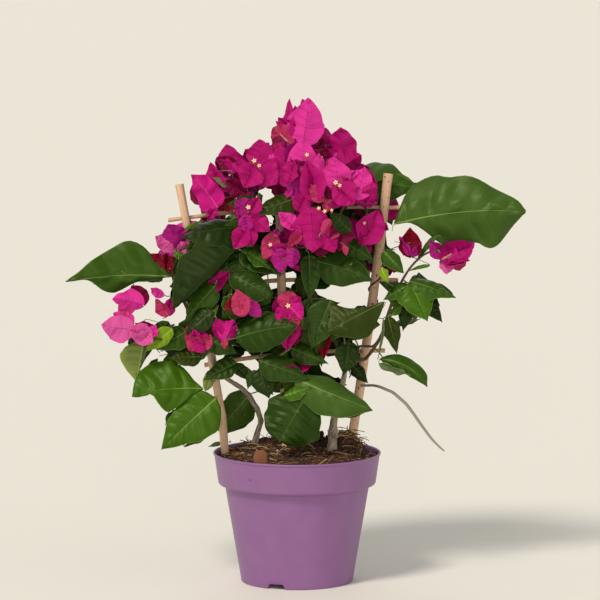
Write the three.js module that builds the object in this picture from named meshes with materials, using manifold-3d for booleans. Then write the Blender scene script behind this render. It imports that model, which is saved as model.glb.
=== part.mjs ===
// A bougainvillea trained on a small bamboo ladder, in its nursery pot.
//
// Millimetres, +Z up. The plant's front faces -Y and +X is to the right of
// someone who looks at that front. The origin is the centre of the pot's
// flat underside, which is what the whole thing stands on.
//
// The pot, the potting mix, the ladder and the two woody stems are solids of
// their real shape. Foliage and blossom are closed, uneven masses: together
// they give the crown's outline, its gaps and its furthest tips.

import * as THREE from 'three';
import { mergeVertices } from 'three/addons/utils/BufferGeometryUtils.js';
import Module from 'manifold-3d';

const wasm = await Module();
wasm.setup();

// ---------------------------------------------------------------- sizes

const AIR = 0.35; // what two neighbouring solids keep between them
const BAR_SEAT = 0.6; // air between a cane and the bar behind it, as a bar runs slightly askew
const ROUND = 24; // facets round the pot

const POT = {
  height: 132,
  rimRadius: 85, // outside, at the lip
  bandRadius: 80.2, // outside, at the foot of the rim band
  bandFoot: 101.5, // height where the rim band starts
  wallTop: 73, // wall radius just under the band
  footRadius: 57,
  wall: 1.4,
  floor: 2.4,
};

// Three drainage channels run out under the wall, and each has a drain hole.
const CHANNEL = {
  firstAzimuth: -112,
  count: 3,
  width: 20,
  narrowing: 3, // how much narrower it is at its top
  height: 5,
  inner: 40, // radius at which it starts
  skin: 1.6, // thickness of the plastic that arches over it
  holeRadius: 3.4,
  holeAt: 48,
};

const SOIL = {
  edge: 126.5, // height against the pot
  crown: 6.5, // how much higher the middle lies
  rough: 1.6,
};

const CANE_SIDES = 8;
const BAR_SIDES = 6;
const STEM_SIDES = 6;

// The three uprights fan out from the pot. The left one is pushed in only as
// far as the ledge under the rim band; the others reach well down.
const CANES = {
  cane_left: {
    diameter: 8.4,
    way: [[-71.4, 12, 103.5], [-76, 12.5, 162.5], [-81.7, 13, 198], [-110.9, 14, 358.7],
      [-119.4, 14, 405.3]],
  },
  cane_middle: {
    diameter: 8.8,
    way: [[-8, 25.5, 18], [-12.6, 26, 191.3], [-15.6, 26.5, 299], [-18.3, 27, 392]],
  },
  cane_right: {
    diameter: 9.5,
    way: [[39.6, 38.5, 42], [59.6, 39.5, 158.4], [68.4, 40, 220.6], [80, 40.5, 302.3], [93.2, 41, 414.4]],
  },
};

// Each thin crossbar lies behind the canes. z gives its height at its left
// end, over the three canes, and at its right end.
const BARS = {
  crossbar_low: { diameter: 4.4, left: -95.5, right: 91.6, z: [217.8, 219.3, 228, 229.1, 228.9] },
  crossbar_middle: { diameter: 4.4, left: -110.5, right: 105.2, z: [293.5, 294.6, 303.4, 302, 301.2] },
  crossbar_top: { diameter: 4.2, left: -132.6, right: 111.3, z: [365.7, 368.5, 376.2, 376.6, 375.8] },
};

// Woody limbs: diameters at the thick and the thin end, then the way there.
const LIMBS = {
  stem_left: {
    thick: 6.4,
    thin: 3.6,
    way: [[-45, 46, 129], [-41, 44, 143], [-36.9, 42, 152], [-38, 38, 164], [-45, 33, 177.7],
      [-56, 24, 194], [-69, 13, 203], [-82, 4, 216], [-89, 0, 234]],
  },
  stem_right: {
    thick: 9,
    thin: 4.6,
    way: [[35.5, 18, 128], [36.4, 18, 143], [37, 16, 160], [41, 13, 178], [46, 10, 198], [50, 8, 220]],
  },
  bough_right: {
    thick: 4.4,
    thin: 2.8,
    way: [[50.6, 9.4, 222.8], [55, 19, 230], [62, 29.5, 236], [71, 33, 234], [81, 30, 237],
      [87, 23, 252], [101, 5, 284]],
  },
  bough_top: {
    thick: 4.2,
    thin: 2.8,
    way: [[45.4, 6.5, 222.5], [41, 9, 238], [30, 13, 260], [21, 17, 278], [16, 18, 296], [12, 10, 322]],
  },
};

// A withered, rolled leaf hangs out past the right cane like a thin blade.
const DRY_LEAF = {
  thick: 5.4,
  thin: 3,
  way: [[66, 33.4, 195], [80, 21, 197], [96, 12, 192], [113, 4, 178], [131, -3, 152], [149, -8, 133]],
};

// ------------------------------------------------------- solids by hand

const axis = (v) => new THREE.Vector3(...v);

// A geometry with only its positions, shared vertices merged, as a solid.
function solid(geometry) {
  const bare = geometry.index ? geometry.toNonIndexed() : geometry.clone();
  bare.deleteAttribute('normal');
  bare.deleteAttribute('uv');
  const merged = mergeVertices(bare, 1e-4);
  return new wasm.Manifold(new wasm.Mesh({
    numProp: 3,
    vertProperties: new Float32Array(merged.attributes.position.array),
    triVerts: new Uint32Array(merged.index.array),
  }));
}

function geometryOf(body) {
  const mesh = body.getMesh();
  const geometry = new THREE.BufferGeometry();
  geometry.setAttribute('position', new THREE.BufferAttribute(new Float32Array(mesh.vertProperties), 3));
  geometry.setIndex(new THREE.BufferAttribute(new Uint32Array(mesh.triVerts), 1));
  return geometry;
}

// Cutting a mass can leave crumbs beside it: only its largest piece counts.
function largest(body) {
  const pieces = body.decompose();
  pieces.sort((a, b) => b.volume() - a.volume());
  return pieces[0];
}

// ------------------------------------------------------------------ pot

// Turns a list of [radius, height] about the upright axis.
function turned(profile) {
  const points = profile.map(([r, z]) => new THREE.Vector2(r, z));
  return new THREE.LatheGeometry(points, ROUND).rotateX(Math.PI / 2);
}

function potOutside() {
  return [
    [0, 0], [POT.footRadius - 1.2, 0], [POT.footRadius, 1.4],
    [POT.wallTop, POT.bandFoot - 4], [POT.bandRadius - 1.2, POT.bandFoot - 1.4],
    [POT.bandRadius, POT.bandFoot + 0.8], [POT.rimRadius - 1, POT.height - 2.6],
    [POT.rimRadius, POT.height - 1.6], [POT.rimRadius - 0.4, POT.height], [0, POT.height],
  ];
}

// The hollow, a wall's thickness inside the outside and inset more, up to a
// height. The potting mix fills it with an inset that keeps the two apart.
function potInside(inset, top) {
  const t = POT.wall + inset;
  const bandInner = POT.bandRadius - t - 1.4;
  const lipInner = POT.rimRadius - t - 0.5;
  const rise = (top - POT.bandFoot - inset) / (POT.height - POT.bandFoot);
  return [
    [0, POT.floor + inset], [POT.footRadius - t, POT.floor + inset],
    [POT.wallTop - t, POT.bandFoot - 3.4 + inset], [bandInner, POT.bandFoot + inset],
    [THREE.MathUtils.lerp(bandInner, lipInner, rise), top], [0, top],
  ];
}

// One drainage channel's space, or with grow the plastic that arches it.
function channel(azimuth, grow, outer) {
  const half = CHANNEL.width / 2 + grow;
  const top = CHANNEL.height + grow;
  const shape = new THREE.Shape([
    new THREE.Vector2(-half, -1),
    new THREE.Vector2(half, -1),
    new THREE.Vector2(half - CHANNEL.narrowing / 2, top),
    new THREE.Vector2(-half + CHANNEL.narrowing / 2, top),
  ]);
  const start = CHANNEL.inner - grow;
  const block = new THREE.ExtrudeGeometry(shape, { depth: outer - start, bevelEnabled: false });
  const turn = THREE.MathUtils.degToRad(azimuth);
  const outward = new THREE.Vector3(Math.cos(turn), Math.sin(turn), 0);
  const up = new THREE.Vector3(0, 0, 1);
  const across = new THREE.Vector3().crossVectors(up, outward);
  const place = new THREE.Matrix4().makeBasis(across, up, outward);
  place.setPosition(outward.clone().multiplyScalar(start));
  return solid(block.applyMatrix4(place));
}

function drainHole(azimuth) {
  const turn = THREE.MathUtils.degToRad(azimuth);
  const hole = new THREE.CylinderGeometry(CHANNEL.holeRadius, CHANNEL.holeRadius, 8, 12);
  hole.rotateX(Math.PI / 2);
  hole.translate(CHANNEL.holeAt * Math.cos(turn), CHANNEL.holeAt * Math.sin(turn), 6);
  return solid(hole);
}

const channelAzimuths = [];
for (let i = 0; i < CHANNEL.count; i += 1) {
  channelAzimuths.push(CHANNEL.firstAzimuth + i * (360 / CHANNEL.count));
}

function makePot() {
  const outside = solid(turned(potOutside()));
  let pot = outside.subtract(solid(turned(potInside(0, POT.height + 1))));
  for (const azimuth of channelAzimuths) {
    const arch = channel(azimuth, CHANNEL.skin, POT.footRadius + 6).intersect(outside);
    pot = pot.add(arch).subtract(channel(azimuth, 0, POT.footRadius + 6)).subtract(drainHole(azimuth));
  }
  return pot;
}

// ----------------------------------------------------------------- limbs

// A round limb along a smooth way, tapering from thick to thin, with flat
// ends. grow makes it fatter and longer: that is the space it needs.
function limb(way, thick, thin, sides, grow = 0) {
  const curve = new THREE.CatmullRomCurve3(way.map(axis));
  const steps = Math.max(4, way.length);
  const frames = curve.computeFrenetFrames(steps, false);
  const positions = [];
  const index = [];
  for (let i = 0; i <= steps; i += 1) {
    const t = i / steps;
    const radius = THREE.MathUtils.lerp(thick, thin, t) / 2 + grow;
    const centre = curve.getPointAt(t);
    const end = i === 0 ? -1 : Number(i === steps);
    centre.addScaledVector(frames.tangents[i], end * grow);
    for (let k = 0; k < sides; k += 1) {
      const turn = (2 * Math.PI * k) / sides;
      const point = centre.clone();
      point.addScaledVector(frames.normals[i], radius * Math.cos(turn));
      point.addScaledVector(frames.binormals[i], radius * Math.sin(turn));
      positions.push(point.x, point.y, point.z);
    }
  }
  for (let i = 0; i < steps; i += 1) {
    for (let k = 0; k < sides; k += 1) {
      const a = i * sides + k;
      const b = i * sides + ((k + 1) % sides);
      index.push(a, b, a + sides, b, b + sides, a + sides);
    }
  }
  for (let k = 1; k < sides - 1; k += 1) {
    const last = steps * sides;
    index.push(0, k + 1, k, last, last + k, last + k + 1);
  }
  const geometry = new THREE.BufferGeometry();
  geometry.setAttribute('position', new THREE.Float32BufferAttribute(positions, 3));
  geometry.setIndex(index);
  return geometry;
}

// The point of a cane's centre line at a height.
function caneAtHeight(name, z) {
  const curve = new THREE.CatmullRomCurve3(CANES[name].way.map(axis));
  let [low, high] = [0, 1];
  for (let i = 0; i < 30; i += 1) {
    const share = (low + high) / 2;
    if (curve.getPointAt(share).z < z) {
      low = share;
    } else {
      high = share;
    }
  }
  return curve.getPointAt(low);
}

function cane(name, grow = 0) {
  const { diameter, way } = CANES[name];
  return limb(way, diameter, diameter, CANE_SIDES, grow);
}

function crossbar(name, grow = 0) {
  const { diameter, left, right, z } = BARS[name];
  const way = Object.keys(CANES).map((upright, i) => {
    const at = caneAtHeight(upright, z[i + 1]);
    return [at.x, at.y + CANES[upright].diameter / 2 + diameter / 2 + BAR_SEAT, z[i + 1]];
  });
  way.unshift([left, way[0][1] - 1.5, z[0]]);
  way.push([right, way[3][1] + 1.5, z[4]]);
  return limb(way, diameter, diameter, BAR_SIDES, grow);
}

function woody(name, grow = 0) {
  const { thick, thin, way } = LIMBS[name];
  return limb(way, thick, thin, STEM_SIDES, grow);
}

// Everything thin that foliage and soil are cut round.
const limbMakers = {};
for (const name of Object.keys(CANES)) {
  limbMakers[name] = (grow) => cane(name, grow);
}
for (const name of Object.keys(BARS)) {
  limbMakers[name] = (grow) => crossbar(name, grow);
}
for (const name of Object.keys(LIMBS)) {
  limbMakers[name] = (grow) => woody(name, grow);
}
const limbSpaces = Object.values(limbMakers).map((make) => solid(make(AIR)));

// ------------------------------------------------------------------ soil

// How high the mix lies at a place: heaped in the middle and to the back.
function soilHeight(x, y) {
  const middle = 1 - Math.min(1, Math.hypot(x, y - 12) / 80) ** 2;
  const ripple = Math.sin(x * 0.11 + 1) * Math.cos(y * 0.13) + 0.6 * Math.sin(x * 0.05 - y * 0.19);
  return SOIL.edge + SOIL.crown * middle + SOIL.rough * ripple * middle;
}

function makeSoil() {
  const profile = potInside(AIR, SOIL.edge).slice(0, -1);
  const rim = profile[profile.length - 1][0];
  for (const share of [0.75, 0.45, 0]) {
    profile.push([rim * share, SOIL.edge + 0.5]);
  }
  const geometry = turned(profile);
  const position = geometry.attributes.position;
  for (let i = 0; i < position.count; i += 1) {
    if (position.getZ(i) > SOIL.edge + 0.25) {
      position.setZ(i, soilHeight(position.getX(i), position.getY(i)));
    }
  }
  let soil = solid(geometry);
  for (const azimuth of channelAzimuths) {
    soil = soil.subtract(channel(azimuth, CHANNEL.skin + AIR, POT.footRadius + 6));
  }
  for (const space of limbSpaces) {
    soil = soil.subtract(space);
  }
  return largest(soil);
}

// ---------------------------------------------------------------- masses

// Unevenness of a mass: a few slow waves over its surface, about 0 on average.
function waves(x, y, z, seed) {
  return 0.07 * Math.sin(3.1 * x + 1.7 * seed) * Math.cos(2.6 * z - seed)
    + 0.06 * Math.sin(4.3 * y + 2.9 * x + seed) + 0.05 * Math.cos(5.2 * z - 3.7 * x + 2 * seed);
}

// One lobe: an uneven ball stretched to its half sizes and leant about Y.
function lobe([x, y, z, rx, ry, rz, lean = 0], seed, grow) {
  const ball = new THREE.IcosahedronGeometry(1, 1);
  const position = ball.attributes.position;
  for (let i = 0; i < position.count; i += 1) {
    const [dx, dy, dz] = [position.getX(i), position.getY(i), position.getZ(i)];
    const out = 1 + waves(dx, dy, dz, seed);
    position.setXYZ(i, dx * (rx * out + grow), dy * (ry * out + grow), dz * (rz * out + grow));
  }
  ball.rotateY(THREE.MathUtils.degToRad(-lean));
  ball.translate(x, y, z);
  return solid(ball);
}

// A mass is its lobes grown together.
function mass(lobes, seed, grow = 0) {
  let body = null;
  lobes.forEach((each, i) => {
    const next = lobe(each, seed + i * 0.7, grow);
    body = body ? body.add(next) : next;
  });
  return body;
}

// Each lobe is [x, y, z, half width, half depth, half height, lean], where
// lean lifts the lobe's +X end by so many degrees.
const BLOOM = 'bloom';
const LEAF = 'leaf';
const MASSES = {
  blooms_tip: [BLOOM, [[11, 4, 462, 20, 16, 28], [-7, 0, 459, 17, 15, 29]]],
  blooms_top_right: [BLOOM, [[44, 6, 437, 20, 16, 26, 30]]],
  blooms_upper_middle: [BLOOM, [[-3, -18, 424, 24, 22, 26], [15, -24, 402, 23, 20, 26]]],
  blooms_upper_left: [BLOOM, [[-69, 4, 421, 14, 15, 25], [-43, -6, 418, 23, 21, 28]]],
  bloom_left_tip: [BLOOM, [[-89, -4, 392, 23, 17, 20]]],
  blooms_upper_right: [BLOOM, [[48, -18, 400, 21, 20, 26], [70, -4, 392, 18, 18, 26]]],
  blooms_right_shoulder: [BLOOM, [[71, 2, 357, 19, 20, 19]]],
  blooms_heart: [BLOOM, [[22, -30, 355, 28, 20, 23], [-12, -23, 340, 18, 19, 29]]],
  blooms_left_heart: [BLOOM, [[-46, -24, 366, 15, 16, 26]]],
  leaves_top_right: [LEAF, [[93, 57, 408, 34, 14, 17, -6]]],
  leaves_right: [LEAF, [[160, 6, 376, 67, 11, 38, 2]]],
  blooms_right: [BLOOM, [[153, -3, 334, 30, 14, 17]]],
  bloom_right_inner: [BLOOM, [[114, -2, 345, 13, 12, 16]]],
  leaves_right_middle: [LEAF, [[127, -4, 292, 37, 20, 24, 10], [104, 2, 318, 26, 17, 18, 30]]],
  leaves_right_hanging: [LEAF, [[96, 0, 250, 18, 18, 26]]],
  leaves_right_low: [LEAF, [[107, -6, 214, 36, 13, 18, -14]]],
  leaves_centre_upper: [LEAF, [[46, -6, 318, 33, 20, 20], [19, -8, 304, 19, 20, 27]]],
  leaves_centre_right: [LEAF, [[58, -26, 262, 32, 17, 19, -6], [23, -18, 264, 18, 18, 28]]],
  leaves_centre: [LEAF, [[-40, -12, 306, 28, 24, 26], [-62, -12, 280, 19, 18, 18]]],
  leaf_centre_low: [LEAF, [[-31, -34, 252, 38, 16, 22, 6]]],
  blooms_middle: [BLOOM, [[-7, -30, 266, 14, 16, 33]]],
  blooms_inner_left: [BLOOM, [[-57, -34, 284, 14, 14, 15]]],
  blooms_middle_left: [BLOOM, [[-88, -30, 252, 30, 16, 15, 22]]],
  leaves_upper_left: [LEAF, [[-92, -12, 352, 34, 22, 17, 6], [-98, -16, 308, 32, 26, 38, 8]]],
  leaves_left: [LEAF, [[-176, -2, 316, 60, 11, 26, 7]]],
  blooms_left_upper: [BLOOM, [[-127, -2, 346, 21, 15, 18, 35]]],
  blooms_left: [BLOOM, [[-158, -9, 285, 35, 14, 15, -10]]],
  blooms_left_low: [BLOOM, [[-171, -12, 258, 32, 15, 18, -8]]],
  leaves_left_middle: [LEAF, [[-124, 2, 247, 31, 19, 21], [-160, 2, 226, 18, 13, 27, -40]]],
  leaves_left_low: [LEAF, [[-134, -12, 199, 35, 18, 29, -6], [-111, -8, 162, 36, 14, 25, 24]]],
  leaves_inner_left: [LEAF, [[-75, -6, 214, 17, 14, 12]]],
  leaf_low_back: [LEAF, [[-62, 42, 166, 19, 12, 26, 36]]],
  leaf_low_front: [LEAF, [[-8, -42, 168, 31, 14, 31]]],
  leaves_low_middle: [LEAF, [[-14, -22, 212, 32, 20, 20]]],
  leaves_low_right: [LEAF, [[39, -38, 192, 40, 15, 24, -12]]],
  leaves_inner_right: [LEAF, [[50, -10, 230, 17, 20, 18]]],
  leaves_side_left: [LEAF, [[-92, 46, 288, 32, 25, 36]]],
  leaves_side_right: [LEAF, [[110, 46, 280, 24, 26, 34]]],
  leaves_back_low: [LEAF, [[-28, 70, 218, 42, 30, 30], [30, 72, 212, 38, 28, 28]]],
  leaves_back_middle: [LEAF, [[42, 78, 266, 42, 30, 32], [-26, 78, 280, 42, 30, 34]]],
  leaves_back_upper: [LEAF, [[4, 76, 336, 44, 28, 32], [66, 76, 350, 40, 26, 32],
    [-56, 72, 340, 38, 26, 30]]],
  blooms_back_upper: [BLOOM, [[38, 60, 402, 36, 24, 30], [-30, 56, 406, 38, 25, 32],
    [2, 50, 440, 28, 20, 26]]],
  bloom_back_left: [BLOOM, [[-94, 50, 358, 26, 20, 26]]],
  bloom_back_right: [BLOOM, [[88, 84, 316, 26, 20, 24]]],
};

// -------------------------------------------------------------- assembly

const COLOURS = {
  pot: [0x8d6090, 0.42],
  soil: [0x4a2f22, 0.98],
  cane: [0xc8a57d, 0.55],
  bark: [0x7d7060, 0.85],
  [LEAF]: [0x2f5a2a, 0.5],
  [BLOOM]: [0xc81478, 0.6],
};

const group = new THREE.Group();

function add(name, geometry, finish) {
  const [color, roughness] = COLOURS[finish];
  const material = new THREE.MeshStandardMaterial({ color, roughness, metalness: 0 });
  const mesh = new THREE.Mesh(geometry, material);
  mesh.name = name;
  group.add(mesh);
}

add('pot', geometryOf(makePot()), 'pot');
add('potting_mix', geometryOf(makeSoil()), 'soil');
for (const [name, make] of Object.entries(limbMakers)) {
  add(name, make(0), name in LIMBS ? 'bark' : 'cane');
}

// A mass gives way to every limb and to every mass that is already there.
const taken = [...limbSpaces];
Object.entries(MASSES).forEach(([name, [finish, lobes]], order) => {
  let body = mass(lobes, order + 1);
  for (const space of taken) {
    body = body.subtract(space);
  }
  add(name, geometryOf(largest(body)), finish);
  taken.push(mass(lobes, order + 1, AIR));
});

add('leaf_dry', limb(DRY_LEAF.way, DRY_LEAF.thick, DRY_LEAF.thin, STEM_SIDES), LEAF);

export default group;
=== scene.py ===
# %% [markdown]
# # A bougainvillea in its pot
#
# A young climber: two woody stems rise from the potting mix, lean into a small ladder of bamboo
# canes and end in sprays of dark leaves and magenta bracts. A bract is a coloured leaf, and three
# stand round three thin cream flowers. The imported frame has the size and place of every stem,
# cane and mass of foliage. This script asks it for them and grows the looks inside.

# %% Load the frame
import math

import bmesh
import bpy
import numpy as np
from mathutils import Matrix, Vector


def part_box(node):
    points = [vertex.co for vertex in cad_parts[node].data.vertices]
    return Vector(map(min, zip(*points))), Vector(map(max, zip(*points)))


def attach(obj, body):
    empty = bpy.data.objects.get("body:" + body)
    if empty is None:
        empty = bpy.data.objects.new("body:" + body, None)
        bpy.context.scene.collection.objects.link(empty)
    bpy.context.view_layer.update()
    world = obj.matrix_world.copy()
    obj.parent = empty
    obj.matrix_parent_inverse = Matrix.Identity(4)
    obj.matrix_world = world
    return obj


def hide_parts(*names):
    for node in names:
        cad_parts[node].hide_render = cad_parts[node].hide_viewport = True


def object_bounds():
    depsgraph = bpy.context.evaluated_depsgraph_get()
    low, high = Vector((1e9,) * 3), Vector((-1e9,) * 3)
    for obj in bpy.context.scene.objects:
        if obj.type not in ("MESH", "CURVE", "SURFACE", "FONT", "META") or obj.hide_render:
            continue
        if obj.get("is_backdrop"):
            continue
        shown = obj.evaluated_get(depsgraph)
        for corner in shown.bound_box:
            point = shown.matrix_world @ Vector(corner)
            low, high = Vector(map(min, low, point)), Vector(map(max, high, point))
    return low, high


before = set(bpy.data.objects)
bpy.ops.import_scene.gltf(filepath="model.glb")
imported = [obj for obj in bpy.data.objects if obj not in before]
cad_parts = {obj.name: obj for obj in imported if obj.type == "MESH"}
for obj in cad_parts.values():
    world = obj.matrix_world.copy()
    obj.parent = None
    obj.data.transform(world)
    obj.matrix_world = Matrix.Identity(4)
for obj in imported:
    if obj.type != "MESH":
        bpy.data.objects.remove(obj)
CAD_LOW, CAD_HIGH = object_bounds()
print("nodes in the frame:", len(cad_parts))

# %% [markdown]
# ## Units and small vector helpers
#
# Everything is measured in millimetres, as arrays of points, and one function turns them into
# Blender's metres and meshes. Arrays are chosen over operators because a plant is thousands of
# small faces: numpy lays them out in a blink, while a call for each leaf would take minutes.

# %% Units and vectors
MM = 0.001
TURN = 2 * math.pi
X, Y, Z = np.eye(3)


def unit(vector):
    vector = np.asarray(vector, float)
    return vector / np.maximum(np.linalg.norm(vector, axis=-1, keepdims=True), 1e-9)


def stack(*arrays):
    """Joins arrays of coordinates into one array of points."""
    return np.stack(arrays, axis=-1)


def smooth(value):
    """An S-curve from 0 to 1."""
    value = np.clip(value, 0.0, 1.0)
    return value * value * (3 - 2 * value)


def node_box(node):
    """The lowest and highest corner of a node of the frame, in mm."""
    low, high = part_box(node)
    return np.array(low) / MM, np.array(high) / MM


def node_middle(node):
    low, high = node_box(node)
    return (low + high) / 2


def show(name, data):
    """Puts a new object with this mesh, camera or light into the scene."""
    thing = bpy.data.objects.new(name, data)
    bpy.context.collection.objects.link(thing)
    return thing


print("crown and pot, in mm:", [round(v / MM) for v in (*CAD_LOW, *CAD_HIGH)])

# %% [markdown]
# ## The camera comes first
#
# The plant is seen from the front and a little above, by a long lens at four metres, so near and
# far leaves keep the same size. Sprays are arranged as a florist arranges them, from the side
# they are seen from: `sight` puts a point in front of a place on the plant's middle plane, at any
# depth, so a leaf can move forward or back and still be seen at the same spot.

# %% Camera
CAMERA_AT = np.array([3.0, -4000.0, 771.0])
CAMERA_AIM = np.array([3.0, 0.0, 287.0])
LENS_MM = 239.3
SENSOR_MM = 36.0

camera = show("camera", bpy.data.cameras.new("camera"))
camera.location = CAMERA_AT * MM
pitch = math.atan2(CAMERA_AT[2] - CAMERA_AIM[2], -CAMERA_AT[1])
camera.rotation_euler = (math.pi / 2 - pitch, 0, 0)
camera.data.lens = LENS_MM
camera.data.sensor_width = SENSOR_MM
camera.data.dof.use_dof = False
bpy.context.scene.camera = camera


def sight(x, z, y):
    """The point at depth y that is seen in front of (x, 0, z)."""
    reach = 1 - y / CAMERA_AT[1]
    return np.array([CAMERA_AT[0] + (x - CAMERA_AT[0]) * reach, y,
                     CAMERA_AT[2] + (z - CAMERA_AT[2]) * reach])


def seen_at(points):
    """Where points are seen on the middle plane: the inverse of sight, for arrays of points."""
    reach = 1 - points[..., 1] / CAMERA_AT[1]
    return stack(CAMERA_AT[0] + (points[..., 0] - CAMERA_AT[0]) / reach,
                 CAMERA_AT[2] + (points[..., 2] - CAMERA_AT[2]) / reach)


print("camera looks down by", round(math.degrees(pitch), 1), "degrees")

# %% [markdown]
# ## Colours and nodes
#
# Colours are written as sRGB hex values, as a paint chart gives them, and turned into the linear
# values that Blender computes with. One small function adds a node with its values and links, so
# each material below reads as a short recipe.

# %% Colour and node helpers
def linear(hex_colour):
    channels = [int(hex_colour[i:i + 2], 16) / 255 for i in (1, 3, 5)]
    return tuple(c / 12.92 if c <= 0.04045 else ((c + 0.055) / 1.055) ** 2.4 for c in channels) + (1,)


def link(tree, node, links):
    """Links sources to inputs; a node that is given as a source stands for its first output."""
    for name, source in links.items():
        output = source.outputs[0] if isinstance(source, bpy.types.Node) else source
        tree.links.new(output, node.inputs[name])


def add(tree, kind, values=None, links=None, **settings):
    """Adds a node: settings are its properties, values its constant inputs, links its sources."""
    node = tree.nodes.new(kind)
    for name, value in settings.items():
        setattr(node, name, value)
    for name, value in (values or {}).items():
        node.inputs[name].default_value = value
    link(tree, node, links or {})
    return node


def new_material(name, colour, roughness, **values):
    """A material with one principled shader, which is returned with its tree."""
    material = bpy.data.materials.new(name)
    material.use_nodes = True
    tree = material.node_tree
    shader = tree.nodes["Principled BSDF"]
    shader.inputs["Base Color"].default_value = linear(colour)
    shader.inputs["Roughness"].default_value = roughness
    for key, value in values.items():
        shader.inputs[key.replace("_", " ")].default_value = value
    material.diffuse_color = linear(colour)
    return material, tree, shader


def ramp(node, stops):
    """Gives a colour ramp its stops, as (place, hex colour)."""
    elements = node.color_ramp.elements
    while len(elements) < len(stops):
        elements.new(0.5)
    for element, (place, colour) in zip(elements, stops):
        element.position = place
        element.color = linear(colour)


def tint_and_bump(tree, pattern, stops, strength, depth):
    """Colour and relief that follow one pattern."""
    tint = add(tree, "ShaderNodeValToRGB", links={"Fac": pattern})
    ramp(tint, stops)
    bump = add(tree, "ShaderNodeBump", {"Strength": strength, "Distance": depth}, {"Height": pattern})
    return tint, bump


def long_grain(tree, width, length, detail, roughness=0.5):
    """Noise on the flat map that is stretched along a limb; width and length in mm."""
    place = add(tree, "ShaderNodeTexCoord").outputs["UV"]
    scale = (1 / (width * MM), 1 / (length * MM), 1)
    stretched = add(tree, "ShaderNodeMapping", {"Scale": scale}, {"Vector": place})
    return add(tree, "ShaderNodeTexNoise", {"Scale": 1.0, "Detail": detail, "Roughness": roughness},
               {"Vector": stretched})


# %% [markdown]
# ## From arrays to meshes
#
# A batch collects many small things and makes as few mesh objects of them as the limit on
# triangles allows. Each face remembers its finish, so one object can hold leaves of many greens,
# and each point has a place on a flat map in mm, which veins and grain follow. Edges marked
# sharp keep a thin blade from looking swollen.

# %% Batches
PIECE_TRIANGLES = 180_000
BODY = "root"


class Batch:
    def __init__(self, name, slot, finishes):
        self.name = name
        self.slot = slot
        self.finishes = finishes
        self.order = {material.name: index for index, material in enumerate(finishes)}
        self.parts = []
        self.triangles = 0

    def add(self, points, faces, flat=None, rim=None):
        """faces is a list of (array of faces, material name); rim marks the points of sharp edges."""
        points = np.asarray(points, float)
        flat = points[:, :2] if flat is None else flat
        rim = np.zeros(len(points), bool) if rim is None else rim
        faces = [(np.asarray(rows, int), self.order[finish]) for rows, finish in faces if len(rows)]
        count = sum(len(rows) * (rows.shape[1] - 2) for rows, _ in faces)
        self.triangles += count
        self.parts.append((points, faces, flat, rim, count))

    def build(self, *nodes):
        """Makes the meshes, in pieces under the limit, and hides the nodes of the frame that they stand
        for.
        """
        groups, room = [[]], PIECE_TRIANGLES
        for part in self.parts:
            count = part[-1]
            if count > room:
                groups.append([])
                room = PIECE_TRIANGLES
            groups[-1].append(part)
            room -= count
        made = []
        for number, group in enumerate(groups):
            suffix = f"_{number + 1}" if len(groups) > 1 else ""
            made.append(self._mesh(self.name + suffix, group))
        if nodes:
            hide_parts(*nodes)
        print(self.name, "has", self.triangles, "triangles in", len(made), "pieces")
        return made

    def _mesh(self, name, group):
        all_points, all_faces, all_flat, all_rims, _ = zip(*group)
        starts = np.cumsum([0] + [len(points) for points in all_points])
        corners, sizes, finishes = [], [], []
        for start, faces in zip(starts, all_faces):
            for rows, finish in faces:
                corners.append((rows + start).ravel())
                sizes.append(np.full(len(rows), rows.shape[1]))
                finishes.append(np.full(len(rows), finish))
        points, flat = np.concatenate(all_points) * MM, np.concatenate(all_flat) * MM
        rim = np.concatenate(all_rims)
        corners, sizes, finishes = map(np.concatenate, (corners, sizes, finishes))

        mesh = bpy.data.meshes.new(name)
        mesh.vertices.add(len(points))
        mesh.vertices.foreach_set("co", points.astype(np.float32).ravel())
        mesh.loops.add(len(corners))
        mesh.loops.foreach_set("vertex_index", corners.astype(np.int32))
        mesh.polygons.add(len(sizes))
        first_corners = np.cumsum(sizes) - sizes
        mesh.polygons.foreach_set("loop_start", first_corners.astype(np.int32))
        mesh.polygons.foreach_set("material_index", finishes.astype(np.int32))
        mesh.polygons.foreach_set("use_smooth", np.ones(len(sizes), bool))
        mesh.update(calc_edges=True)
        layer = mesh.uv_layers.new(name="flat")
        layer.data.foreach_set("uv", flat[corners].astype(np.float32).ravel())
        if rim.any():
            ends = np.empty(len(mesh.edges) * 2, np.int32)
            mesh.edges.foreach_get("vertices", ends)
            sharp = rim[ends.reshape(-1, 2)].all(axis=1)
            mesh.attributes.new("sharp_edge", "BOOLEAN", "EDGE").data.foreach_set("value", sharp)
        for material in self.finishes:
            mesh.materials.append(material)
        mesh.validate()
        piece = show(name, mesh)
        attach(piece, BODY)
        return piece


# %% [markdown]
# ## Limbs
#
# A cane, a stem and a twig are one kind of shape: a round section carried along a path. Level
# cuts through the frame's solids give the middle and the radius at each height. The section goes
# from ring to ring without spinning, which is called parallel transport, because one that follows
# a curve by its own axes flips over where the curve straightens.

# %% Centre lines
ACROSS, UP = 0, 2
CUT_MARGIN = 0.01  # share of a limb that is left off before its first cut and after its last
FACET_GAIN = 1.06  # the flats of a faceted limb lie this much inside its round


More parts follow.
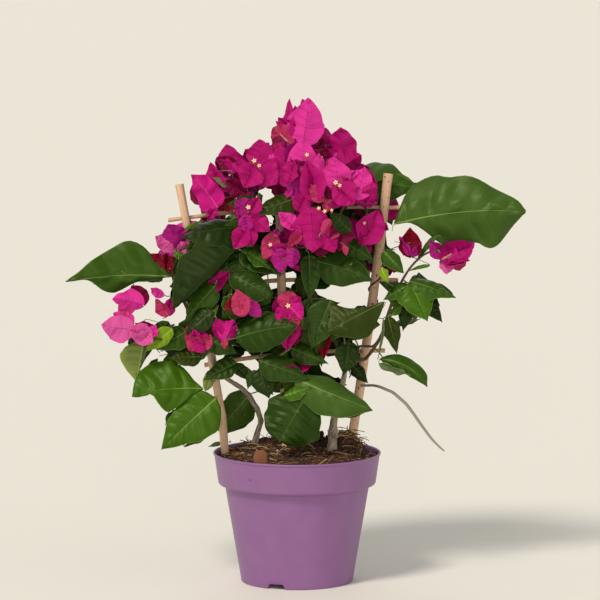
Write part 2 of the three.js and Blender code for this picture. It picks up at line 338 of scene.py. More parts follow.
def centre_line(node, axis, cuts):
    """Points along a limb and its radius at each, from parallel cuts through its solid, in mm."""
    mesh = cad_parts[node].data
    corners = np.array([vertex.co for vertex in mesh.vertices]) / MM
    edges = np.array([edge.vertices[:] for edge in mesh.edges])
    start, end = corners[edges[:, 0]], corners[edges[:, 1]]
    low, high = corners[:, axis].min(), corners[:, axis].max()
    margin = (high - low) * CUT_MARGIN
    points, radii = [], []
    for level in np.linspace(low + margin, high - margin, cuts):
        crossed = (start[:, axis] - level) * (end[:, axis] - level) < 0
        part = (level - start[crossed, axis]) / (end[crossed, axis] - start[crossed, axis])
        section = start[crossed] + part[:, None] * (end - start)[crossed]
        middle = (section.min(axis=0) + section.max(axis=0)) / 2
        points.append(middle)
        radii.append(np.linalg.norm(section - middle, axis=1).min() * FACET_GAIN)
    return np.array(points), np.array(radii)


def smooth_path(points, step):
    """A path through points, evenly divided, with its corners eased (Catmull-Rom)."""
    points = np.asarray(points, float)
    ends = np.vstack([2 * points[0] - points[1], points, 2 * points[-1] - points[-2]])
    out = []
    for a, b, c, d in zip(ends, ends[1:], ends[2:], ends[3:]):
        count = max(2, int(np.linalg.norm(c - b) / step) + 1)
        t = np.linspace(0, 1, count, endpoint=False)[:, None]
        out.append(0.5 * (2 * b + (c - a) * t + (2 * a - 5 * b + 4 * c - d) * t ** 2
                          + (3 * b - a - 3 * c + d) * t ** 3))
    return np.vstack(out + [points[-1:]])


def along(path):
    """The length along a path up to each of its points."""
    return np.concatenate([[0], np.cumsum(np.linalg.norm(np.diff(path, axis=0), axis=1))])


# %% Rings and tubes
def ring_faces(row_count, segments):
    """Four-sided faces between closed rings of points."""
    row = np.arange(row_count - 1)[:, None] * segments
    column = np.arange(segments)[None, :]
    after = (column + 1) % segments
    quads = stack(row + column, row + after, row + segments + after, row + segments + column)
    return quads.reshape(-1, 4)


def rings(path, radii, sides, relief=None):
    """Points of a tube, ring by ring. relief(angle, length) adds to the radius."""
    tangents = unit(np.gradient(path, axis=0))
    side = unit(np.cross(tangents[0], X if abs(tangents[0][2]) > 0.5 else Z))
    angles = np.arange(sides) / sides * TURN
    cosines, sines = np.cos(angles), np.sin(angles)
    lengths = along(path)
    out = []
    for place, tangent, radius, length in zip(path, tangents, radii, lengths):
        side = unit(side - tangent * (side @ tangent))
        other = np.cross(tangent, side)
        reach = radius + (relief(angles, length) if relief else 0)
        out.append(place + (cosines * reach)[:, None] * side + (sines * reach)[:, None] * other)
    return np.array(out)


def tube(batch, path, radii, sides, finish, relief=None, dome=0.0):
    """Adds a closed tube to a batch. dome lifts the middle of its ends, in mm."""
    radii = np.broadcast_to(np.asarray(radii, float), (len(path),))
    grid = rings(path, radii, sides, relief)
    count = len(path)
    tangents = unit(np.gradient(path, axis=0))
    caps = np.array([path[0] - tangents[0] * dome, path[-1] + tangents[-1] * dome])
    points = np.vstack([grid.reshape(-1, 3), caps])
    spokes = np.arange(sides)
    turned = (spokes + 1) % sides
    last = (count - 1) * sides
    first_cap = stack(turned, spokes, np.full(sides, count * sides))
    last_cap = stack(last + spokes, last + turned, np.full(sides, count * sides + 1))
    lengths = np.repeat(along(path), sides)
    round_about = np.tile(spokes / sides * TURN, count) * np.repeat(radii, sides)
    flat = np.vstack([stack(round_about, lengths), [[0, 0], [0, lengths[-1]]]])
    rim = np.zeros(len(points), bool)
    if dome == 0:
        rim[:sides] = True
        rim[last:last + sides] = True
    faces = [ring_faces(count, sides), first_cap, last_cap]
    batch.add(points, [(part, finish) for part in faces], flat, rim)

# %% [markdown]
# ## The pot
#
# Thin polypropylene, injection moulded: a tapered wall, a wide collar with a fine lip that
# stiffens the rim, and shallow channels under the foot that let water out. A lathe shape suits
# it, because every section is the same circle. The profile runs up the outside, over the lip and
# down the inside, so the wall has its true thickness. The channels are pressed into its rings.

# %% Pot shape
pot_low, pot_high = node_box("pot")
RIM = (pot_high[0] - pot_low[0]) / 2
POT_TOP = pot_high[2]
FOOT = 0.67 * RIM
WALL_TOP = 0.86 * RIM
COLLAR = 0.943 * RIM
COLLAR_FOOT = 0.77 * POT_TOP
WALL = 1.4
FLOOR = 2.4
POT_SEGMENTS = 240
CHANNEL_AZIMUTH = math.radians(-112)
CHANNELS = 3
CHANNEL_HALF_WIDTH = 10.0
CHANNEL_HEIGHT = 5.0
CHANNEL_SLOPE = 2.5
CHANNEL_START = 40.0
CHANNEL_EASE = 4.0
DRAIN_HOLE = 3.4
DRAIN_RADIUS = 0.56 * RIM
DRILL_LENGTH = 30.0


CORNERS = [
    # radius, height, steps to the next corner: up the outside, over the lip, down the inside
    (0.05, 0, 3), (CHANNEL_START - 2, 0, 10), (FOOT - 1, 0, 1), (FOOT - 0.3, 0.3, 1), (FOOT, 1, 1),
    (FOOT + 0.15, 2, 7), (FOOT + 2.4, 16, 12), (WALL_TOP - 0.1, COLLAR_FOOT - 5, 1),
    (WALL_TOP, COLLAR_FOOT - 4, 1), (WALL_TOP + 0.5, COLLAR_FOOT - 3.4, 1),
    (COLLAR - 2.4, COLLAR_FOOT - 1.8, 1), (COLLAR - 0.9, COLLAR_FOOT - 1.2, 1),
    (COLLAR - 0.2, COLLAR_FOOT - 0.2, 1), (COLLAR, COLLAR_FOOT + 1.2, 1),
    (COLLAR + 0.2, COLLAR_FOOT + 2.6, 8), (RIM - 1.1, POT_TOP - 3.2, 1), (RIM - 1.0, POT_TOP - 2.5, 1),
    (RIM - 0.3, POT_TOP - 2.1, 1), (RIM, POT_TOP - 1.4, 1), (RIM, POT_TOP - 0.5, 1),
    (RIM - 0.5, POT_TOP, 1), (RIM - 1.3, POT_TOP, 1), (RIM - 1.9, POT_TOP - 0.4, 1),
    (RIM - 2.3, POT_TOP - 1.6, 1), (RIM - 2.6, POT_TOP - 3, 4), (COLLAR - WALL, COLLAR_FOOT + 1, 1),
    (WALL_TOP - WALL, COLLAR_FOOT - 4, 1), (WALL_TOP - WALL - 0.1, COLLAR_FOOT - 8, 6),
    (FOOT - WALL, FLOOR + 4, 1), (FOOT - WALL - 2, FLOOR, 1), (FOOT - WALL - 4, FLOOR, 8),
    (0.05, FLOOR, 1),
]
pot_profile = []
for (r, z, steps), (next_r, next_z, _) in zip(CORNERS, CORNERS[1:]):
    pot_profile += [(r + (next_r - r) * i / steps, z + (next_z - z) * i / steps) for i in range(steps)]
pot_profile.append(CORNERS[-1][:2])


def channel_lift(x, y):
    """How far the foot is pressed up by the drain channels."""
    azimuth = np.arctan2(y, x)
    radius = np.hypot(x, y)
    lift = np.zeros_like(radius)
    for number in range(CHANNELS):
        off = (azimuth - CHANNEL_AZIMUTH - number * TURN / CHANNELS + math.pi) % TURN - math.pi
        inset = CHANNEL_HALF_WIDTH - np.abs(off) * radius
        lift = np.maximum(lift, CHANNEL_HEIGHT * np.clip(inset / CHANNEL_SLOPE, 0, 1))
    return lift * smooth((radius - CHANNEL_START + CHANNEL_EASE / 2) / CHANNEL_EASE)


def revolve(profile, segments):
    """Rings of points round the vertical axis, one for each point of the profile."""
    profile = np.array(profile)
    angles = np.arange(segments) / segments * TURN
    return stack(profile[:, :1] * np.cos(angles), profile[:, :1] * np.sin(angles),
                 np.repeat(profile[:, 1:], segments, axis=1))


def close_ends(piece):
    """Closes the pinholes of a profile that starts and ends a hair off the axis."""
    shell = bmesh.new()
    shell.from_mesh(piece.data)
    open_edges = [edge for edge in shell.edges if edge.is_boundary]
    bmesh.ops.holes_fill(shell, edges=open_edges, sides=0)
    shell.to_mesh(piece.data)
    shell.free()


pot_rings = revolve(pot_profile, POT_SEGMENTS)
lift = channel_lift(pot_rings[..., 0], pot_rings[..., 1])
height = pot_rings[..., 2]
near_floor = np.clip(1 - height / (CHANNEL_HEIGHT + FLOOR + 1), 0, 1)
pot_rings[..., 2] = height + lift * near_floor
print("pot is", round(2 * RIM), "mm wide and", round(POT_TOP), "mm high")

# %% [markdown]
# ### Satin polypropylene
#
# Moulded polypropylene is satin: a broad, soft highlight, never a mirror. Its colour is in the
# plastic and hardly varies. What the eye reads as plastic is the fine ripple of the cooled skin
# and a slight dulling where hands and wet compost have rubbed it.

# %% Pot material
POT_COLOUR = "#855a8b"
RIPPLE_MM = 7.0
DUST_MM = 22.0


def satin_polypropylene():
    material, tree, shader = new_material("satin_polypropylene", POT_COLOUR, 0.42, IOR=1.49)
    place = add(tree, "ShaderNodeTexCoord").outputs["Object"]
    cloud = add(tree, "ShaderNodeTexNoise", {"Scale": 1 / (DUST_MM * MM), "Detail": 3.0},
                {"Vector": place})
    tint = add(tree, "ShaderNodeValToRGB", links={"Fac": cloud})
    ramp(tint, [(0.3, "#82578a"), (0.7, "#885d8f")])
    dull = add(tree, "ShaderNodeMapRange", {"To Min": 0.36, "To Max": 0.5}, {"Value": cloud})
    ripple = add(tree, "ShaderNodeTexNoise", {"Scale": 1 / (RIPPLE_MM * MM), "Detail": 2.0},
                 {"Vector": place})
    bump = add(tree, "ShaderNodeBump", {"Strength": 0.12, "Distance": 0.0006}, {"Height": ripple})
    link(tree, shader, {"Base Color": tint, "Roughness": dull, "Normal": bump})
    return material


pot_batch = Batch("pot_shell", "pot_plastic", [satin_polypropylene()])
pot_batch.add(
    pot_rings.reshape(-1, 3),
    [(ring_faces(len(pot_rings), POT_SEGMENTS), "satin_polypropylene")],
)
pot = pot_batch.build("pot")[0]
close_ends(pot)

# %% [markdown]
# ### Drain holes
#
# Each channel leads to a round hole in the foot. The rings of a lathe shape can only be open on
# its axis, so three drills are made and cut away with a boolean.

# %% Drain holes
drill_mesh = bpy.data.meshes.new("drill")
drill = bmesh.new()
for number in range(CHANNELS):
    azimuth = CHANNEL_AZIMUTH + number * TURN / CHANNELS
    across, deep = DRAIN_RADIUS * math.cos(azimuth) * MM, DRAIN_RADIUS * math.sin(azimuth) * MM
    made = bmesh.ops.create_cone(drill, cap_ends=True, segments=24, depth=DRILL_LENGTH * MM,
                                 radius1=DRAIN_HOLE * MM, radius2=DRAIN_HOLE * MM)
    bmesh.ops.translate(drill, verts=made["verts"], vec=(across, deep, 0))
drill.to_mesh(drill_mesh)
drill.free()
drill_object = show("drill", drill_mesh)
holes = pot.modifiers.new("drain holes", "BOOLEAN")
holes.operation = "DIFFERENCE"
holes.solver = "EXACT"
holes.object = drill_object
bpy.context.view_layer.objects.active = pot
bpy.ops.object.modifier_apply(modifier=holes.name)
bpy.data.objects.remove(drill_object)
print("pot has", len(pot.data.polygons), "faces")

# %% [markdown]
# ## Chance, but the same each time
#
# Soil, twigs and hidden leaves are laid out by chance. Each part has a generator with a fixed
# seed, so every run gives the same plant and a change in one part never reshuffles another.
# Smooth chance, for hills and hollows, is a lattice of random values with eased steps between
# them: value noise, the simplest kind.

# %% Random helpers
LATTICE = 64


def chance(seed):
    return np.random.default_rng(seed)


def pick(shares, dice):
    """One of the names in a table of names and their shares."""
    return list(shares)[dice.choice(len(shares), p=list(shares.values()))]


def noise(u, v, cell, seed):
    """Value noise from -1 to 1, with one random value in each cell of that size in mm."""
    values = chance(seed).uniform(-1, 1, (LATTICE, LATTICE))
    u, v = np.asarray(u) / cell, np.asarray(v) / cell
    column, row = np.floor(u).astype(int), np.floor(v).astype(int)
    across, up = smooth(u - column), smooth(v - row)
    corner = [[values[(column + i) % LATTICE, (row + j) % LATTICE] for j in (0, 1)]
              for i in (0, 1)]
    lower = corner[0][0] * (1 - across) + corner[1][0] * across
    upper = corner[0][1] * (1 - across) + corner[1][1] * across
    return lower * (1 - up) + upper * up


# %% [markdown]
# ## Potting mix
#
# Coir and composted bark: a dark crumbly bed, reddish chips and pale fibres at all angles, heaped
# where the right cane was pushed in. The bed is a round grid raised by noise of three sizes, and
# loose pieces lie on it: a bump map could never give the fibres that cross the rim.

# %% Bed of potting mix
BED_EDGE = 126.5
BED_CROWN = 6.5
BED_RADIUS = node_box("potting_mix")[1][0] - 0.3
CROWN_RADIUS, CROWN_BACK = 80, 12
HEAP, HEAP_SPREAD = 15.0, 13.0
BACK_HEAP = 6.0
BED_ROUGHNESS = [
    # height, width of a hillock, seed
    (1.5, 11, 3), (1.1, 4.6, 4), (0.7, 1.9, 5),
]
NOISE_SHIFT = 200  # keeps the bed in one corner of the noise, where all places are positive
cane_right_foot = centre_line("cane_right", UP, 60)[0]
cane_right_foot = cane_right_foot[np.abs(cane_right_foot[:, 2] - BED_EDGE).argmin()]


def bed_height(x, y):
    """The height of the potting mix at a place, in mm."""
    from_middle = np.hypot(x, y - CROWN_BACK) / CROWN_RADIUS
    rise = BED_CROWN * (1 - np.minimum(1, from_middle) ** 2)
    from_cane = np.hypot(x - cane_right_foot[0], y - cane_right_foot[1] + 4)
    heap = HEAP * np.exp(-from_cane ** 2 / HEAP_SPREAD ** 2)
    back = BACK_HEAP * smooth((y - 20) / 35) * smooth((CROWN_RADIUS - np.hypot(x, y)) / 14)
    rough = sum(size * noise(x + NOISE_SHIFT, y + NOISE_SHIFT, cell, seed)
                for size, cell, seed in BED_ROUGHNESS)
    inside_rim = smooth((BED_RADIUS - np.hypot(x, y)) / 5)
    mounds = (rise + heap + back) * (0.35 + 0.65 * inside_rim)
    return BED_EDGE + mounds + rough * (0.3 + 0.7 * inside_rim)


BED_RINGS = 84
BED_SEGMENTS = 260
BED_DEPTH = 7
bed_profile = [(0.05 + BED_RADIUS * i / BED_RINGS, BED_EDGE) for i in range(BED_RINGS + 1)]
bed_under = [(BED_RADIUS - 1.2, BED_EDGE - BED_DEPTH), (0.05, BED_EDGE - BED_DEPTH)]
bed = revolve(bed_profile + bed_under, BED_SEGMENTS)[:, ::-1]
top = bed[:BED_RINGS + 1]
top[..., 2] = bed_height(top[..., 0], top[..., 1])
print("bed of potting mix rises to", round(top[..., 2].max()), "mm")

# %% [markdown]
# ### Coir, bark and perlite
#
# All of it is dry, matt plant matter, so roughness is near one and only the colours differ: the
# bed black-brown in its gaps and rust on its crumbs, chips orange-brown, fibres rust to straw.
# Two small tables say how often each is dealt out.

# %% Potting mix materials
CRUMB_MM = 3.5
GRAIN_MM = 1.2
MIX_COLOURS = {
    "bark_crumb_dark": "#2e1a12",
    "bark_crumb": "#381f14",
    "bark_chip": "#552e1d",
    "bark_chip_orange": "#7a4a31",
    "coir_rust": "#5c341e",
    "coir_tan": "#80603c",
    "coir_straw": "#c9aa7a",
    "perlite": "#e6e0d4",
}
LUMP_SHARES = {"bark_crumb_dark": 0.3, "bark_crumb": 0.35, "bark_chip": 0.25, "bark_chip_orange": 0.1}
FIBRE_SHARES = {"coir_rust": 0.45, "coir_tan": 0.33, "coir_straw": 0.22}


def crumbly_mix():
    material, tree, shader = new_material("crumbly_coir_mix", "#4a2a1c", 0.95)
    place = add(tree, "ShaderNodeTexCoord").outputs["Object"]
    crumbs = add(tree, "ShaderNodeTexNoise",
                 {"Scale": 1 / (CRUMB_MM * MM), "Detail": 6.0, "Roughness": 0.7}, {"Vector": place})
    stops = [(0.35, "#170d09"), (0.5, "#331c14"), (0.66, "#5c3526")]
    tint, bump = tint_and_bump(tree, crumbs, stops, 0.9, 0.002)
    link(tree, shader, {"Base Color": tint, "Normal": bump})
    return material


def dry_matter(name, colour):
    material, tree, shader = new_material(name, colour, 0.9)
    place = add(tree, "ShaderNodeTexCoord").outputs["Object"]
    grain = add(tree, "ShaderNodeTexNoise", {"Scale": 1 / (GRAIN_MM * MM), "Detail": 3.0},
                {"Vector": place})
    bump = add(tree, "ShaderNodeBump", {"Strength": 0.6, "Distance": 0.0006}, {"Height": grain})
    link(tree, shader, {"Normal": bump})
    return material


bed_batch = Batch("potting_mix_bed", "potting_mix", [crumbly_mix()])
bed_batch.add(bed.reshape(-1, 3), [(ring_faces(len(bed), BED_SEGMENTS), "crumbly_coir_mix")])
close_ends(bed_batch.build("potting_mix")[0])

# %% Rough little solids
GOLDEN = (1 + 5 ** 0.5) / 2
SIGNS = [(a, b) for a in (-1, 1) for b in (-1, 1)]
ICO_POINTS = unit([(a, b * GOLDEN, 0) for a, b in SIGNS] + [(0, a, b * GOLDEN) for a, b in SIGNS]
                  + [(b * GOLDEN, 0, a) for a, b in SIGNS])


def hull_faces(points):
    """Triangles of the convex hull of a few points, facing out."""
    hull = bmesh.new()
    for point in points:
        hull.verts.new(point)
    bmesh.ops.convex_hull(hull, input=hull.verts)
    hull.verts.index_update()
    faces = [[vertex.index for vertex in face.verts] for face in hull.faces]
    hull.free()
    out = []
    for face in faces:
        a, b, c = points[face]
        out.append(face if np.cross(b - a, c - a) @ a > 0 else face[::-1])
    return out


ICO_FACES = hull_faces(ICO_POINTS)


def random_turn(dice):
    """A random rotation matrix."""
    a, b = unit(dice.normal(size=3)), dice.normal(size=3)
    b = unit(b - a * (a @ b))
    return np.array([a, b, np.cross(a, b)])


def lump(batch, middle, size, finish, dice, flatness=0.6):
    """A rough little solid: an icosahedron pulled out of shape."""
    shape = ICO_POINTS * dice.uniform(0.72, 1.15, (12, 1)) * [1, dice.uniform(0.5, 0.9), flatness]
    batch.add(middle + (shape * size) @ random_turn(dice), [(ICO_FACES, finish)], rim=np.ones(12, bool))


# %% Loose pieces in the mix
LUMP_COUNT = 900
FIBRE_COUNT = 620
FIBRE_SAG = 0.35
mix_batch = Batch("coir_and_bark", "potting_mix", [dry_matter(*item) for item in MIX_COLOURS.items()])
dice = chance(11)


def place_on_bed(inset):
    radius = (BED_RADIUS - inset) * math.sqrt(dice.uniform(0, 1))
    azimuth = dice.uniform(0, TURN)
    x, y = radius * math.cos(azimuth), radius * math.sin(azimuth)
    return np.array([x, y, float(bed_height(x, y))])


for number in range(LUMP_COUNT):
    finish = pick(LUMP_SHARES, dice)
    size = dice.uniform(0.8, 2.0) if number % 3 else dice.uniform(1.8, 3.8)
    lump(mix_batch, place_on_bed(4), size, finish, dice, dice.uniform(0.3, 0.8))

for number in range(FIBRE_COUNT):
    start = place_on_bed(5)
    if number % 4 == 0:
        start = np.array([*(cane_right_foot[:2] + dice.normal(0, 8, 2)), 0])
        start[2] = bed_height(start[0], start[1])
    heading = dice.uniform(0, TURN)
    length = dice.uniform(6, 24)
    lean = dice.uniform(-0.05, 0.5) if number % 5 else dice.uniform(0.4, 1.1)
    flat_way = np.array([math.cos(heading), math.sin(heading), 0])
    way = flat_way * math.cos(lean) + Z * math.sin(lean)
    bow = np.cross(way, dice.normal(size=3)) * dice.uniform(0, 0.25)
    share = np.linspace(-0.2, 0.8, 6)[:, None]
    path = start + way * share * length + bow * length * (share ** 2)
    path = path - Z * length * FIBRE_SAG * np.maximum(share, 0) ** 2
    path[:, 2] = np.maximum(path[:, 2], bed_height(path[:, 0], path[:, 1]) - 0.4)
    radius = np.hypot(path[:, 0], path[:, 1])
    path[:, :2] *= np.minimum(1, (BED_RADIUS - 1.5) / np.maximum(radius, 1))[:, None]
    finish = pick(FIBRE_SHARES, dice)
    tube(mix_batch, path, dice.uniform(0.22, 0.5), 4, finish)

# %% [markdown]
# ### The pieces that catch the eye
#
# A slab of orange bark at the front, black clods by the right stem, two pale beads of perlite and
# a crumb on the collar are placed one by one: a few large pieces tell one mix from another.

# %% Slab, clods and beads
SLAB_OUTLINE = [(-6.5, -7), (-7, 1), (-4.5, 6.5), (0.5, 5), (3, 8), (6.5, 4.5), (5.5, -2), (7, -8)]
SLAB_LAYERS = [(-1.9, 0.86), (-0.9, 1), (1.3, 1), (2, 0.8)]
SLAB_LEAN = 0.12
slab = np.array([(x * inset, y + SLAB_LEAN * x, z * inset)
                 for y, inset in SLAB_LAYERS for x, z in SLAB_OUTLINE])
slab += chance(3).normal(0, 0.25, slab.shape)
mix_batch.add(sight(-37, 126, -66) + slab, [(hull_faces(slab), "bark_chip_orange")],
              rim=np.ones(len(slab), bool))
for _ in range(16):
    spot = sight(26, 141, 30) + dice.normal(0, 1, 3) * [4.5, 4, 6.5]
    lump(mix_batch, spot, dice.uniform(2.5, 5), "bark_crumb_dark", dice, 0.8)
lump(mix_batch, sight(-68, 142, 30), 1.6, "perlite", dice, 0.9)
lump(mix_batch, sight(-20, 133, -50), 1.1, "perlite", dice, 0.9)
SPECK_AZIMUTH, SPECK_HEIGHT = math.radians(-125), 114.0
speck_radius = COLLAR + 0.35 * (RIM - COLLAR)
speck = speck_radius * math.cos(SPECK_AZIMUTH), speck_radius * math.sin(SPECK_AZIMUTH), SPECK_HEIGHT
lump(mix_batch, np.array(speck), 0.9, "bark_crumb_dark", dice, 0.6)
mix_batch.build()

# %% [markdown]
# ## Bamboo canes and crossbars
#
# Three canes stand in the mix and three thin bars cross behind them. Peeled bamboo is pale tan
# with long fine fibres and small dark scars where sheaths sat, and its ends are simply sawn
# off. The shapes follow the frame's canes ring by ring, with a slight swelling at each joint.

# %% Bamboo
FIBRE_WIDTH_MM = 0.7  # real fibres are about 0.3 mm wide, which is too fine to show
FIBRE_LENGTH_MM = 26.0
SCAR_MM = 4.2
SCAR_THRESHOLD = 0.76
CANE_JOINT_SPACING = 96.0
JOINT_SWELL, JOINT_WIDTH = 0.32, 1.8


def peeled_bamboo(name, light, dark, scars):
    """scars is the share of the surface, from 0 to about 0.1, that is dark sheath scar."""
    material, tree, shader = new_material(name, light, 0.55, IOR=1.45)
    fibres = long_grain(tree, FIBRE_WIDTH_MM, FIBRE_LENGTH_MM, 4.0)
    tint, bump = tint_and_bump(tree, fibres, [(0.3, dark), (0.62, light)], 0.35, 0.0004)
    place = add(tree, "ShaderNodeTexCoord").outputs["UV"]
    spots = add(tree, "ShaderNodeTexNoise", {"Scale": 1 / (SCAR_MM * MM), "Detail": 2.0},
                {"Vector": place})
    edge = SCAR_THRESHOLD - scars
    scar = add(tree, "ShaderNodeMapRange", {"From Min": edge, "From Max": edge + 0.03},
               {"Value": spots})
    # a colour mix has its factor at input 0, its colours at 6 and 7 and its result at output 2
    colour = add(tree, "ShaderNodeMix", {7: linear("#4a2f1e")}, {0: scar, 6: tint},
                 data_type="RGBA")
    link(tree, shader, {"Base Color": colour.outputs[2], "Normal": bump})
    return material


bamboo = peeled_bamboo("peeled_bamboo", "#e0bf9f", "#c09873", 0.0)
scarred_bamboo = peeled_bamboo("scarred_bamboo", "#e2bd9e", "#c09674", 0.12)
split_bamboo = peeled_bamboo("split_bamboo", "#dbb695", "#b58a68", 0.0)


def cane_relief(phase):
    """Joints of the bamboo and the slight flats that splitting leaves."""
    def relief(angles, length):
        from_joint = (length + phase) % CANE_JOINT_SPACING - CANE_JOINT_SPACING / 2
        joint = JOINT_SWELL * np.exp(-(from_joint / JOINT_WIDTH) ** 2)
        flats = 0.12 * np.cos(3 * angles + phase) + 0.08 * np.cos(5 * angles - phase + length * 0.02)
        return joint + flats
    return relief


def bamboo_pole(node, axis, cuts, step, sides, finish, phase):
    """A cane or bar that follows the frame's own from cut to cut."""
    middle, radii = centre_line(node, axis, cuts)
    path = smooth_path(middle, step)
    reach = np.interp(along(path), along(middle), radii)
    batch = Batch(node + "_bamboo", "bamboo", [finish])
    tube(batch, path, reach, sides, finish.name, cane_relief(phase))
    batch.build(node)


CANES = {"cane_left": bamboo, "cane_middle": bamboo, "cane_right": scarred_bamboo}
for number, (node, finish) in enumerate(CANES.items()):
    bamboo_pole(node, UP, 40, 2.5, 22, finish, 20 * number + 12)
for number, node in enumerate(["crossbar_low", "crossbar_middle", "crossbar_top"]):
    bamboo_pole(node, ACROSS, 30, 3, 14, split_bamboo, 31 * number)

# %% [markdown]
# ## Stems and boughs
#
# The bark is grey-brown and furrowed, with a knot wherever a branch was pruned. A limb follows
# the centre line of its solid and adds what the hand would feel: long ridges, rings where buds
# sat, a flare at the root and one swollen knot.

# %% Bark
RIDGE_MM = 1.6
RIDGE_STRETCH = 7  # how much longer than wide a ridge of bark is
STEM_SIDES = 28


def furrowed_bark(name, light, dark):
    material, tree, shader = new_material(name, light, 0.86)
    ridges = long_grain(tree, RIDGE_MM, RIDGE_STRETCH * RIDGE_MM, 5.0, 0.65)
    tint, bump = tint_and_bump(tree, ridges, [(0.36, dark), (0.62, light)], 0.8, 0.0009)
    link(tree, shader, {"Base Color": tint, "Normal": bump})
    return material


grey_bark = furrowed_bark("furrowed_grey_bark", "#b8ab99", "#66594c")
brown_bark = furrowed_bark("young_brown_bark", "#6f5642", "#33251b")


def bark_relief(phase):
    """Long ridges in two sizes and the faint rings of old buds, in mm."""
    def relief(angles, length):
        wide_ridges = 0.2 * np.sin(3 * angles + 0.09 * length + phase)
        fine_ridges = 0.13 * np.sin(7 * angles - 0.3 * length)
        bud_rings = 0.16 * np.sin(length / 1.7 + phase) * np.sin(2 * angles + length / 5)
        return wide_ridges + fine_ridges + bud_rings
    return relief


# %% Limbs
LIMBS = {
    # node: (axis it runs along, bark, share of the frame's radius, cuts)
    "stem_left": (UP, grey_bark, 1.0, 30),
    "stem_right": (UP, grey_bark, 1.0, 24),
    "bough_right": (ACROSS, brown_bark, 0.72, 18),
    "bough_top": (UP, brown_bark, 1.0, 18),
}
ROOT_DEPTH = 10.0
ROOT_FLARE, FLARE_HEIGHT = 0.55, 6
KNOT_HEIGHT, KNOT_SWELL, KNOT_REACH = 149.0, 1.5, 5
limb_ways = {}
for number, (node, (axis, finish, fullness, cuts)) in enumerate(LIMBS.items()):
    middle, radii = centre_line(node, axis, cuts)
    if node.startswith("stem"):
        below = middle[0] - unit(middle[1] - middle[0]) * ROOT_DEPTH
        middle, radii = np.vstack([below, middle]), np.concatenate([[radii[0]], radii])
    path = smooth_path(middle, 1.4)
    reach = np.interp(along(path), along(middle), radii) * fullness
    if node.startswith("stem"):
        above_bed = np.maximum(path[:, 2] - BED_EDGE - 4, 0)
        reach = reach * (1 + ROOT_FLARE * np.exp(-above_bed / FLARE_HEIGHT))
    if node == "stem_right":
        reach = reach + KNOT_SWELL * np.exp(-((path[:, 2] - KNOT_HEIGHT) / KNOT_REACH) ** 2)
    batch = Batch(node + "_bark", "bark", [finish])
    tube(batch, path, reach, STEM_SIDES, finish.name, bark_relief(number * 2.1), dome=0.8)
    batch.build(node)
    limb_ways[node] = (path, reach)
print("limbs:", {node: round(along(way[0])[-1]) for node, way in limb_ways.items()}, "mm long")

# %% [markdown]
# ## A blade: the shape of every leaf and bract
#
# Leaf and bract are one shape: a thin blade that widens quickly from its stalk and runs out to a
# point. Its grid is laid out as the leaf itself is, with rows that sweep forward along the side
# veins and columns along the midrib. So the blade can fold, cup, curl, twist and ripple, and the
# flesh can swell between the veins, because the faces already lie along them. Narrow rows and a
# narrow column are the veins themselves. The upper sheet and an underside a third of a
# millimetre below it share their margin: a closed solid with a colour of its own on each side.

# %% Blade grid
SWEEP = 0.5  # how far rows run forward along the side veins
FIRST_VEIN, VEIN_SPAN = 0.09, 0.76
BUCKLE_MM, CRINKLE_MM = 9.0, 3.4  # how wide the dents are that buckle and crinkle make
FLESH, SIDE_VEIN, MIDRIB = 0, 1, 2


def blade_layout(veins, between, columns, hemmed=True):
    """The grid of a blade with so many side veins, rows between them and columns in each half.

    It gives the rows as (place on the midrib, side of the vein), which strips are veins, the
    columns of one half, the edges of the cells between veins, and whether the margin has a hem.
    """
    places = FIRST_VEIN + VEIN_SPAN * (np.arange(veins) / max(veins - 1, 1)) ** 0.92
    rows, strips = [(0.0, 0.0)], []
    edges = [0.0, *places, 1.0]
    for number, (low, high) in enumerate(zip(edges, edges[1:])):
        for step in range(1, between + 1):
            rows.append((low + (high - low) * step / between, 0.0))
            strips.append(False)
        if number < veins:
            rows[-1] = (high, -1.0)
            rows.append((high, 1.0))
            strips.append(True)
    margin = [0.99, 1.0] if hemmed else [1.0]
    half = np.append((np.arange(columns) / (columns - 0.5)) ** 0.85, margin)
    return np.array(rows), np.array(strips), half, np.array(edges), hemmed


LAYOUTS = {
    "leaf": blade_layout(veins=6, between=4, columns=7),
    "bract": blade_layout(veins=5, between=3, columns=6, hemmed=False),
    "small": blade_layout(veins=4, between=2, columns=4, hemmed=False),
    "plain": blade_layout(veins=0, between=8, columns=3, hemmed=False),
}


# %% Midrib and outline of a blade
STATIONS = np.linspace(0, 1, 41)
LEAST_HALF_WIDTH = 0.12


def bent_midrib(bend, hook, sickle):
    """Points and headings along a midrib one unit long; bend and hook droop it, sickle turns it."""
    bend, hook, sickle = np.radians([bend, hook, sickle])
    droop = -(bend * (STATIONS - 0.5) + hook * STATIONS ** 5)
    sway = sickle * (STATIONS - 0.5)
    heading = stack(np.cos(droop) * np.cos(sway), np.sin(sway), np.sin(droop) * np.cos(sway))
    steps = (heading[1:] + heading[:-1]) / 2 * np.diff(STATIONS)[:, None]
    return np.vstack([[0, 0, 0], np.cumsum(steps, axis=0)]), heading


